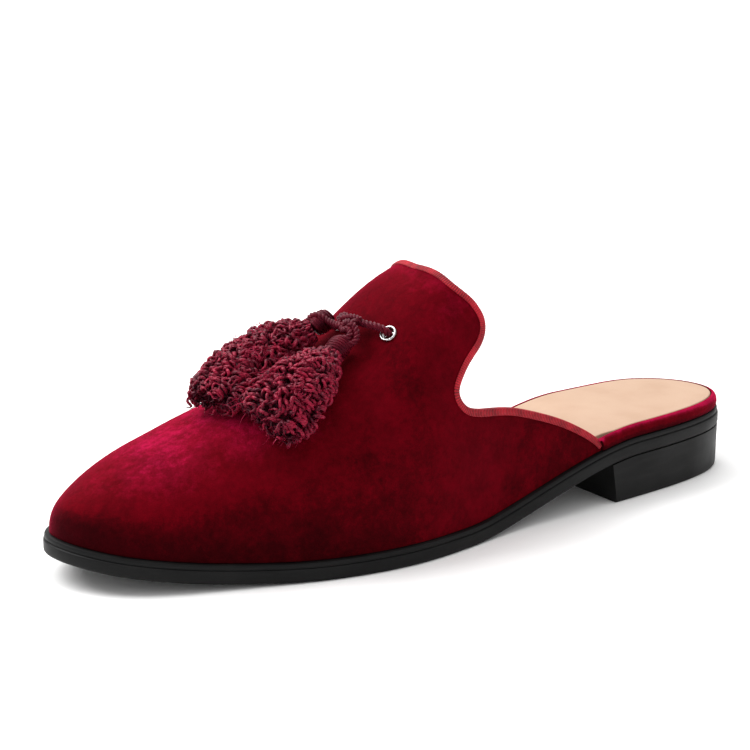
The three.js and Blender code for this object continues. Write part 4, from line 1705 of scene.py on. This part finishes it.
    def curl(
        self,
        rng: np.random.Generator,
        share: np.ndarray,
        frames: tuple[np.ndarray, ...],
        layer: float,
        k: int,
    ) -> tuple[np.ndarray, np.ndarray, np.ndarray]:
        """One crimped strand of yarn, coiled now one way and now the other, from the head to the skirt's end.

        Args:
            rng: source of the small differences between curls.
            share: stations along the skirt.
            frames: the skirt's middle, directions and half sizes at the stations.
            layer: reach of the curl's layer, as a share of the half sizes.
            k: number of the curl.

        Returns:
            Points of the yarn, the direction out of its coils and the middle of the coils.
        """
        middle, wide, high, half_wide, half_high = frames
        spin = 2.0 * math.pi * ((k * GOLDEN) % 1.0) + rng.normal(0.0, 0.1)
        spin = spin + rng.normal(0.0, self.stray) * share + ripple(rng, share, *self.wander)
        reach = layer + rng.normal(0.0, self.uneven) + ripple(rng, share, *self.bulge)
        reach = reach * (1.0 + self.flare * np.exp(-(((share + 0.02) / 0.1) ** 2)))
        below = np.sin(spin) < 0.0
        room_wide = np.maximum(half_wide * reach - self.curl_radius * 0.5, 0.4)
        room_high = np.maximum(half_high * reach - self.curl_radius * np.where(below, 1.5, 0.5), 0.4)
        spine = middle + wide * (np.cos(spin) * room_wide)[:, None]
        spine = spine + high * (np.sin(spin) * room_high)[:, None]
        spine = resample(spine, np.linspace(0.0, rng.uniform(0.86, 1.0), len(share)))
        travel = walked(spine)
        first, second = carried_frame(spine)
        pace = self.pitch * rng.uniform(0.8, 1.25)
        swing = rng.uniform(11.0, 19.0)
        wobble = ripple(rng, travel, rng.uniform(0.9, 1.7), self.wobble)
        phase = swing / pace * np.sin(2.0 * math.pi * travel / swing + rng.uniform(0.0, 6.28))
        phase = 1.15 * phase + wobble + rng.uniform(0.0, 6.28)
        swell = self.curl_radius * rng.uniform(0.75, 1.2)
        swell = swell * (1.0 + ripple(rng, travel, rng.uniform(0.5, 0.9), self.loosening))
        swell = swell * (0.25 + 0.75 * smoothstep(share, 0.0, 0.14))
        out = first * np.cos(phase)[:, None] + second * np.sin(phase)[:, None]
        return spine + out * swell[:, None], out, spine

    def build_core(self) -> bpy.types.Object:
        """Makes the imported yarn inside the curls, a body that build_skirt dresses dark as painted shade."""
        share = np.linspace(-0.08, 1.0, 26)
        middle, wide, high, half_wide, half_high = self.frames(share)
        rings = []
        for i in range(len(share)):
            size = 0.0 if i in (0, len(share) - 1) else 0.76 + 0.05 * (i % 2)
            around = circle(wide[i] * half_wide[i], high[i] * half_high[i], self.spokes)
            rings.append(middle[i] + around * size)
        core = weld("core", [patch("core", np.array(rings))])
        smooth(core, 60.0)
        return core

    def build_fibres(self, rng: np.random.Generator, curls: np.ndarray) -> bpy.types.Object:
        """Makes wisps at the ends of the curls and fluff over their middle.

        Args:
            rng: source of the small differences between fibres.
            curls: points of the curls.

        Returns:
            The fibres in one mesh.
        """
        lines = []
        step = np.linspace(0.0, 1.0, 9)[:, None]

        def fibre(root: np.ndarray, way: np.ndarray, long: float, sway: float) -> None:
            """Adds one bent fibre."""
            bend = rng.normal(0.0, sway, 3) * step**2 + rng.normal(0.0, sway, 3) * step**3
            lines.append(root + unit(way) * long * step + bend)

        for _ in range(self.wisps):
            curl = curls[rng.integers(len(curls))]
            way = unit(curl[-1] - curl[-50]) + rng.normal(0.0, 0.35, 3)
            fibre(curl[-rng.integers(1, 12)], way, rng.uniform(2.5, 6.5), 1.3)
        top = curls[np.argsort(-curls[:, self.stations // 2, 2])[: len(curls) // 3]]
        for _ in range(self.tufts):
            curl = top[rng.integers(len(top))]
            spot = rng.integers(self.stations // 6, self.stations * 3 // 4)
            along = unit(curl[spot + 30] - curl[spot])
            for _ in range(self.tuft):
                root = curl[spot] + rng.normal(0.0, 1.1, 3) + (0.0, 0.0, 0.5)
                fibre(root, along + rng.normal(0.0, 0.55, 3), rng.uniform(2.0, 5.0), 0.7)
        radii = np.broadcast_to(0.17 * (1.1 - step[:, 0]), (len(lines), len(step)))
        ups = np.broadcast_to(np.array([0.3, 0.2, 0.93]), (len(lines), len(step), 3))
        return tubes("fibres", np.array(lines), radii, ups, 3)

    def dress(self, pieces: Sequence[bpy.types.Object]) -> None:
        """Gives the head its thread and hangs both on the shoe."""
        head, skirt = pieces
        dress(head, CORD)
        ride(head, Slot.CORD, f"tassel_head_{self.side}")
        ride(skirt, Slot.CORD, f"tassel_skirt_{self.side}")


# The studio


@dataclass
class Studio:
    """Camera, floor and soft light."""

    back: tuple[float, float, float] = (0.538, 0.796, 0.276)
    target: tuple[float, float, float] = (0.0, 0.0, 0.035)
    distance: float = 0.9
    lens: float = 113.51
    shift: tuple[float, float] = (-0.0461, 0.0701)
    room: float = 0.78
    floor_size: float = 14.0
    # Lamps: name, place, the point that it faces, size and watts
    lamps: tuple[tuple, ...] = (
        ("key", (0.55, -0.45, 0.75), (0.05, 0.0, 0.03), 0.7, 9.0),
        ("top", (0.0, 0.1, 1.3), (0.0, 0.0, 0.03), 0.9, 4.0),
        ("back", (-0.8, -1.4, 1.8), (-0.8, -1.2, 0.0), 2.0, 25.0),
    )

    def build(self) -> None:
        """Sets up the whole studio."""
        self.camera()
        self.floor()
        self.lights()

    def camera(self) -> None:
        """Places the camera at the photograph's angle."""
        data = bpy.data.cameras.new("camera")
        data.lens, data.sensor_width = self.lens, 36.0
        data.shift_x, data.shift_y = self.shift
        data.clip_start, data.clip_end = 0.01, 50.0
        camera = bpy.data.objects.new("camera", data)
        back = Vector(self.back).normalized()
        camera.location = Vector(self.target) + back * self.distance
        camera.rotation_mode = "QUATERNION"
        camera.rotation_quaternion = (-back).to_track_quat("-Z", "Y")
        bpy.context.scene.collection.objects.link(camera)
        bpy.context.scene.camera = camera

    def floor(self) -> None:
        """Lays a plain pale floor."""
        deselect()
        bpy.ops.mesh.primitive_plane_add(size=self.floor_size, location=(0.0, 0.0, 0.0))
        floor = bpy.context.object
        floor.name = floor.data.name = "floor"
        floor.data.materials.append(PaleFloor("pale_floor").material())

    def area(
        self, name: str, place: Sequence[float], aim: Sequence[float], size: float, watts: float
    ) -> None:
        """Hangs one soft lamp that faces a point."""
        data = bpy.data.lights.new(name, "AREA")
        data.shape, data.size, data.energy = "DISK", size, watts
        lamp = bpy.data.objects.new(name, data)
        lamp.location = place
        lamp.rotation_mode = "QUATERNION"
        lamp.rotation_quaternion = (Vector(aim) - Vector(place)).to_track_quat("-Z", "Y")
        bpy.context.scene.collection.objects.link(lamp)

    def lights(self) -> None:
        """Soft light from above and behind, over an even white room."""
        scene = bpy.context.scene
        world = bpy.data.worlds.new("studio")
        scene.world = world
        world.use_nodes = True
        white = world.node_tree.nodes["Background"].inputs
        white["Color"].default_value = (1.0, 1.0, 1.0, 1.0)
        white["Strength"].default_value = self.room
        for lamp in self.lamps:
            self.area(*lamp)
        scene.view_settings.view_transform = "Standard"


def main() -> None:
    """Builds the slipper piece by piece."""
    logging.basicConfig(level=logging.INFO, format="%(name)s %(message)s")
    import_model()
    Studio().build()
    last = Last()
    outer = Tassel(
        last,
        "outer",
        (0.6255, 80.4, 6.0),
        ((0.647, 77.8, 6.6), (0.6815, 72.6, 8.6), (0.7185, 65.5, 9.2), (0.756, 59.7, 7.4)),
        seed=3,
    )
    inner = Tassel(
        last,
        "inner",
        (0.606, 95.6, 6.5),
        ((0.627, 96.3, 7.0), (0.657, 98.3, 9.0), (0.711, 95.5, 9.8), (0.7795, 85.9, 7.2)),
        seed=8,
    )
    for part in (Lace(last), outer, inner, Upper(last), Eyelets(last), Sole(last), Footbed(last)):
        part.dress(part.build())


if __name__ == "__main__":
    main()
